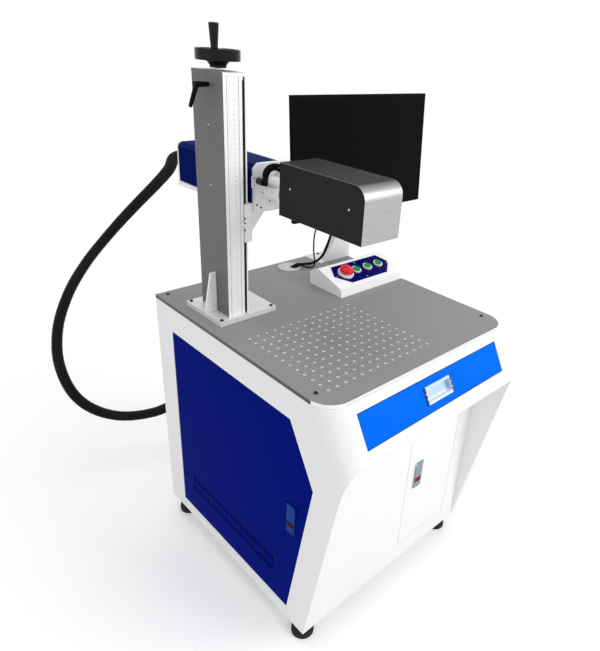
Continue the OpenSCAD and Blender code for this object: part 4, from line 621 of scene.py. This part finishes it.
# A paler line along the rounded edges between the sides and the top is a painted highlight.
edge_painted_highlight = (sideways > 0.25) * (sideways < 0.96) * (abs(at.facing("Z")) > 0.25)
sheet = blend(front_painted_reflection, blend(streak, (0.018, 0.018, 0.019, 1), (0.030, 0.030, 0.031, 1)),
              blend(streak, (0.38, 0.38, 0.39, 1), (0.54, 0.54, 0.55, 1)))
sheet = blend(side_share, sheet, (0.024, 0.024, 0.025, 1))
feed(brushed, Base_Color=blend(edge_painted_highlight, sheet, (0.6, 0.6, 0.61, 1)),
     Metallic=(1 - side_share * 0.85) * (0.1 + front_painted_reflection * 0.9),
     Roughness=0.36 + streak * 0.1 + side_share * 0.12, Normal=relief(streak, 0.15, 0.0001))
eased("head_cover", 0.0010, brushed)
eased("galvo_block", 0.0005, flange_silver)
lens_black, at = finish("lens_black", (0.008, 0.008, 0.009), 0.3, Specular_IOR_Level=0.3)
feed(lens_black, Roughness=0.26 + noise(at, 200.0) * 0.1)
dressed(lens_black, "scan_lens")
mirror_coat, at = finish("mirror_coat", (0.85, 0.62, 0.35), 0.06, 1.0)
feed(mirror_coat, Roughness=0.05 + noise(at, 200.0) * 0.03)
dressed(mirror_coat, "mirror_x", "mirror_y")
socket_screws("cover_screws", [spot(-165.7, -19.7, 1111.9), spot(-165.7, -205.7, 1111)], out=(-1, 0, 0),
              radius=0.0026, height=0.001, body="carriage", material=screw_steel)
lead_r = 0.0042
for name, route in (
        ("galvo_lead_a", [(-178.7, 59, 1115.5), (-179.5, 52, 1116.5), (-187.5, 45.5, 1127), (-189, 42, 1139),
                          (-181, 39, 1150), (-165, 37, 1153.5), (-148, 35, 1149), (-137, 30, 1140),
                          (-134.7, 25, 1136), (-134.7, 18, 1136)]),
        ("galvo_lead_b", [(-178.7, 59, 1107.5), (-179, 51, 1108.5), (-182.5, 44.5, 1119), (-182, 42, 1131),
                          (-175, 41, 1141.5), (-163, 39, 1145), (-152, 36, 1141), (-145.5, 30, 1133.5),
                          (-143.7, 25, 1131), (-143.7, 18, 1131)])):
    line = laid_line([spot(*p) for p in route], 0.002)
    lead = tube(name, line, [lead_r] * len(line), 14, "carriage", sheath)
    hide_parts("galvo_cables")
beam_x, beam_z, collar_r, collar_turn = -140.2, 1091.5, 31, 0.25
collar_angles = [math.pi * k / 3 + collar_turn for k in range(6)]
socket_screws("collar_screws", [spot(beam_x + collar_r * math.cos(w), 76, beam_z + collar_r * math.sin(w))
                                for w in collar_angles],
              out=(0, -1, 0), radius=0.0016, height=0.001, body="carriage", material=black_screw)
tab_x, tab_z = -193, 1111
tab_screw_x, tab_screw_out = -193.5, 9
tab_size = (0.0108, 0.003, 0.026)
tab_corner_r = 0.002
mesh = bmesh.new()
bmesh.ops.create_cube(mesh, size=1, matrix=Matrix.LocRotScale(spot(tab_x, 77.4, tab_z), None, tab_size))
upright = [e for e in mesh.edges if abs((e.verts[0].co - e.verts[1].co).y) > tab_size[1] / 2]
bmesh.ops.bevel(mesh, geom=upright, offset=tab_corner_r, offset_type="OFFSET", segments=4, profile=0.5,
                affect="EDGES")
data = bpy.data.meshes.new("seal_tab")
mesh.to_mesh(data)
mesh.free()
shown("seal_tab", data, "carriage", flange_silver)
socket_screws("tab_screws", [spot(tab_screw_x, 75.9, tab_z + z) for z in (-tab_screw_out, tab_screw_out)],
              out=(0, -1, 0), radius=0.0016, height=0.001, body="carriage", material=black_screw)
socket_screws("flange_screws", [spot(x, 79, z) for x, z in ((-123.9, 1122.2), (-183.2, 1055.4),
                                                            (-171.8, 1048.2), (-96, 1048.2))],
              out=(0, -1, 0), radius=0.0022, height=0.0015, body="carriage", material=black_screw)

# Control box: white folded sheet with a navy plate that four screws hold, an emergency stop and three green
# moulded buttons in bright rings.
box_white = powder_coat("box_white", (0.96, 0.96, 0.965), (0.93, 0.93, 0.94), 0.4)
eased("control_box", 0.0008, box_white)
plate_navy, at = finish("plate_navy", (0.0015, 0.0015, 0.11), 0.25, Specular_IOR_Level=0.04)
sheen = noise(at, 12.0, 2.0)
feed(plate_navy, Base_Color=blend(sheen, (0.001, 0.001, 0.075, 1), (0.002, 0.004, 0.15, 1)),
     Roughness=0.2 + sheen * 0.1)
dressed(plate_navy, "control_plate")
socket_screws("plate_screws", [spot(*p) for p in ((196, 112, 819.9), (191, 50, 800.1), (96, 78.5, 809.2),
                                                  (301, 77, 808.7))],
              out=(0, -0.3044, 0.9526), radius=0.002, height=0.0012, body="machine", material=screw_steel)
ring_bright, at = finish("ring_bright", (0.9, 0.9, 0.91), 0.3, 0.25)
stop_ring_end = spot(154, 0, 0).x
plastic = at.along("X") < stop_ring_end
feed(ring_bright, Metallic=0.25 - plastic * 0.25, Roughness=0.28 + plastic * 0.12)
dressed(ring_bright, "button_bezels")
stop_red, at = finish("stop_red", (0.72, 0.010, 0.025), 0.28, Specular_IOR_Level=0.3)
feed(stop_red, Base_Color=blend(noise(at, 60.0), (0.66, 0.008, 0.02, 1), (0.80, 0.014, 0.03, 1)))
dressed(stop_red, "emergency_stop")
button_green, at = finish("button_green", (0.008, 0.27, 0.085), 0.3, Specular_IOR_Level=0.3)
feed(button_green, Base_Color=blend(noise(at, 90.0), (0.006, 0.24, 0.07, 1), (0.012, 0.31, 0.10, 1)))
dressed(button_green, "green_button_1", "green_button_2", "green_button_3")

# Monitor: a thin black screen on a white folded stand, bolted to the worktop beside a grey moulded cable grommet.
# The screen's face is glossier than its frame.
monitor_black, at = finish("monitor_black", (0.003, 0.0035, 0.004), 0.45, Specular_IOR_Level=0.03)
screen_x, screen_half, screen_low, screen_high = spot(290, 0, 0).x, 0.261, 0.965, 1.271
beside, height = abs(at.along("X") - screen_x), at.along("Z")
screen = ((0 - at.facing("Y")) > 0.9) * (beside < screen_half) * (height > screen_low) * (height < screen_high)
feed(monitor_black, Roughness=0.42 - screen * 0.32 + noise(at, 300.0) * 0.06,
     Normal=relief(noise(at, 900.0), 0.06, 0.0001))
eased("monitor", 0.0008, monitor_black)
eased("monitor_stand", 0.0004, cabinet_white)
grommet_grey, at = finish("grommet_grey", (0.52, 0.52, 0.53), 0.45)
feed(grommet_grey, Roughness=0.4 + noise(at, 100.0) * 0.12)
dressed(grommet_grey, "cable_grommet")

# Drawer: a white tray behind an azure front, on channel runners. The recessed pull is a pale blue extrusion
# between black end caps, held by four screws.
drawer_azure = powder_coat("drawer_azure", (0.0, 0.15, 0.95), (0.0, 0.135, 0.90), 0.36, 0.015)
eased("drawer_front", 0.0008, drawer_azure)
dressed(cabinet_white, "drawer_tray")
pull_silver, at = finish("pull_silver", (0.48, 0.66, 0.86), 0.4, 0.15)
brushing = noise(at, 120.0, 3.0, (0.1, 6.0, 6.0))
cap_start, lip_top = 0.0445, 0.6905
cap = abs(at.along("X") - middle.x) > cap_start
lip = at.along("Z") < lip_top
shade = blend(brushing, (0.44, 0.62, 0.83, 1), (0.56, 0.72, 0.88, 1))
shade = blend(cap, blend(lip, shade, (0.88, 0.90, 0.93, 1)), (0.006, 0.006, 0.02, 1))
feed(pull_silver, Base_Color=shade, Roughness=0.34 + brushing * 0.14, Metallic=0.15 - cap * 0.15)
dressed(pull_silver, "drawer_pull")
socket_screws("pull_screws", [spot(x, y, z) for x in (-46.5, 46.5) for y, z in ((-380.5, 698.7), (-374.6, 709.1))],
              out=(0, -0.867, 0.498), radius=0.0016, height=0.0006, body="drawer", material=screw_steel)
runner_zinc, at = finish("runner_zinc", (0.5, 0.5, 0.49), 0.35, 1.0)
feed(runner_zinc, Roughness=0.3 + noise(at, 80.0) * 0.15)
dressed(runner_zinc, "drawer_slides")

# Doors: a white door in the front recess and a navy door with two rows of vents on each side, hung on pins and
# closed by swing-handle latches with a red release.
eased("front_door", 0.0008, cabinet_white)
door_navy = powder_coat("door_navy", (0.0, 0.007, 0.20), (0.0, 0.005, 0.17), 0.42, 0.006)
vent_edge = 0.03
for node in ("side_door_left", "side_door_right"):
    eased(node, 0.0008, door_navy, lambda edge: edge.calc_length() > vent_edge)
release_low, release_high, release_half = 0.018, 0.035, 0.0125
latch_blue, latch_dark_red = (0.006, 0.05, 0.27, 1), (0.04, 0.002, 0.012, 1)
for node, foot_z, across, centre, paint, red in (
        ("front_latch", 0.3197, "X", spot(73.5, 0, 0).x, (0.27, 0.32, 0.36, 1), (0.24, 0.006, 0.04, 1)),
        ("side_latch_left", 0.3722, "Y", spot(0, -247.4, 0).y, latch_blue, latch_dark_red),
        ("side_latch_right", 0.3722, "Y", spot(0, -247.4, 0).y, latch_blue, latch_dark_red)):
    latch_skin, at = finish("skin_" + node, paint[:3], 0.4, Specular_IOR_Level=0.04)
    height = at.along("Z") - foot_z
    level = (height > release_low) * (height < release_high)
    release = level * (abs(at.along(across) - centre) < release_half)
    feed(latch_skin, Base_Color=blend(release, paint, red), Roughness=0.36 + noise(at, 150.0) * 0.12)
    dressed(latch_skin, node)
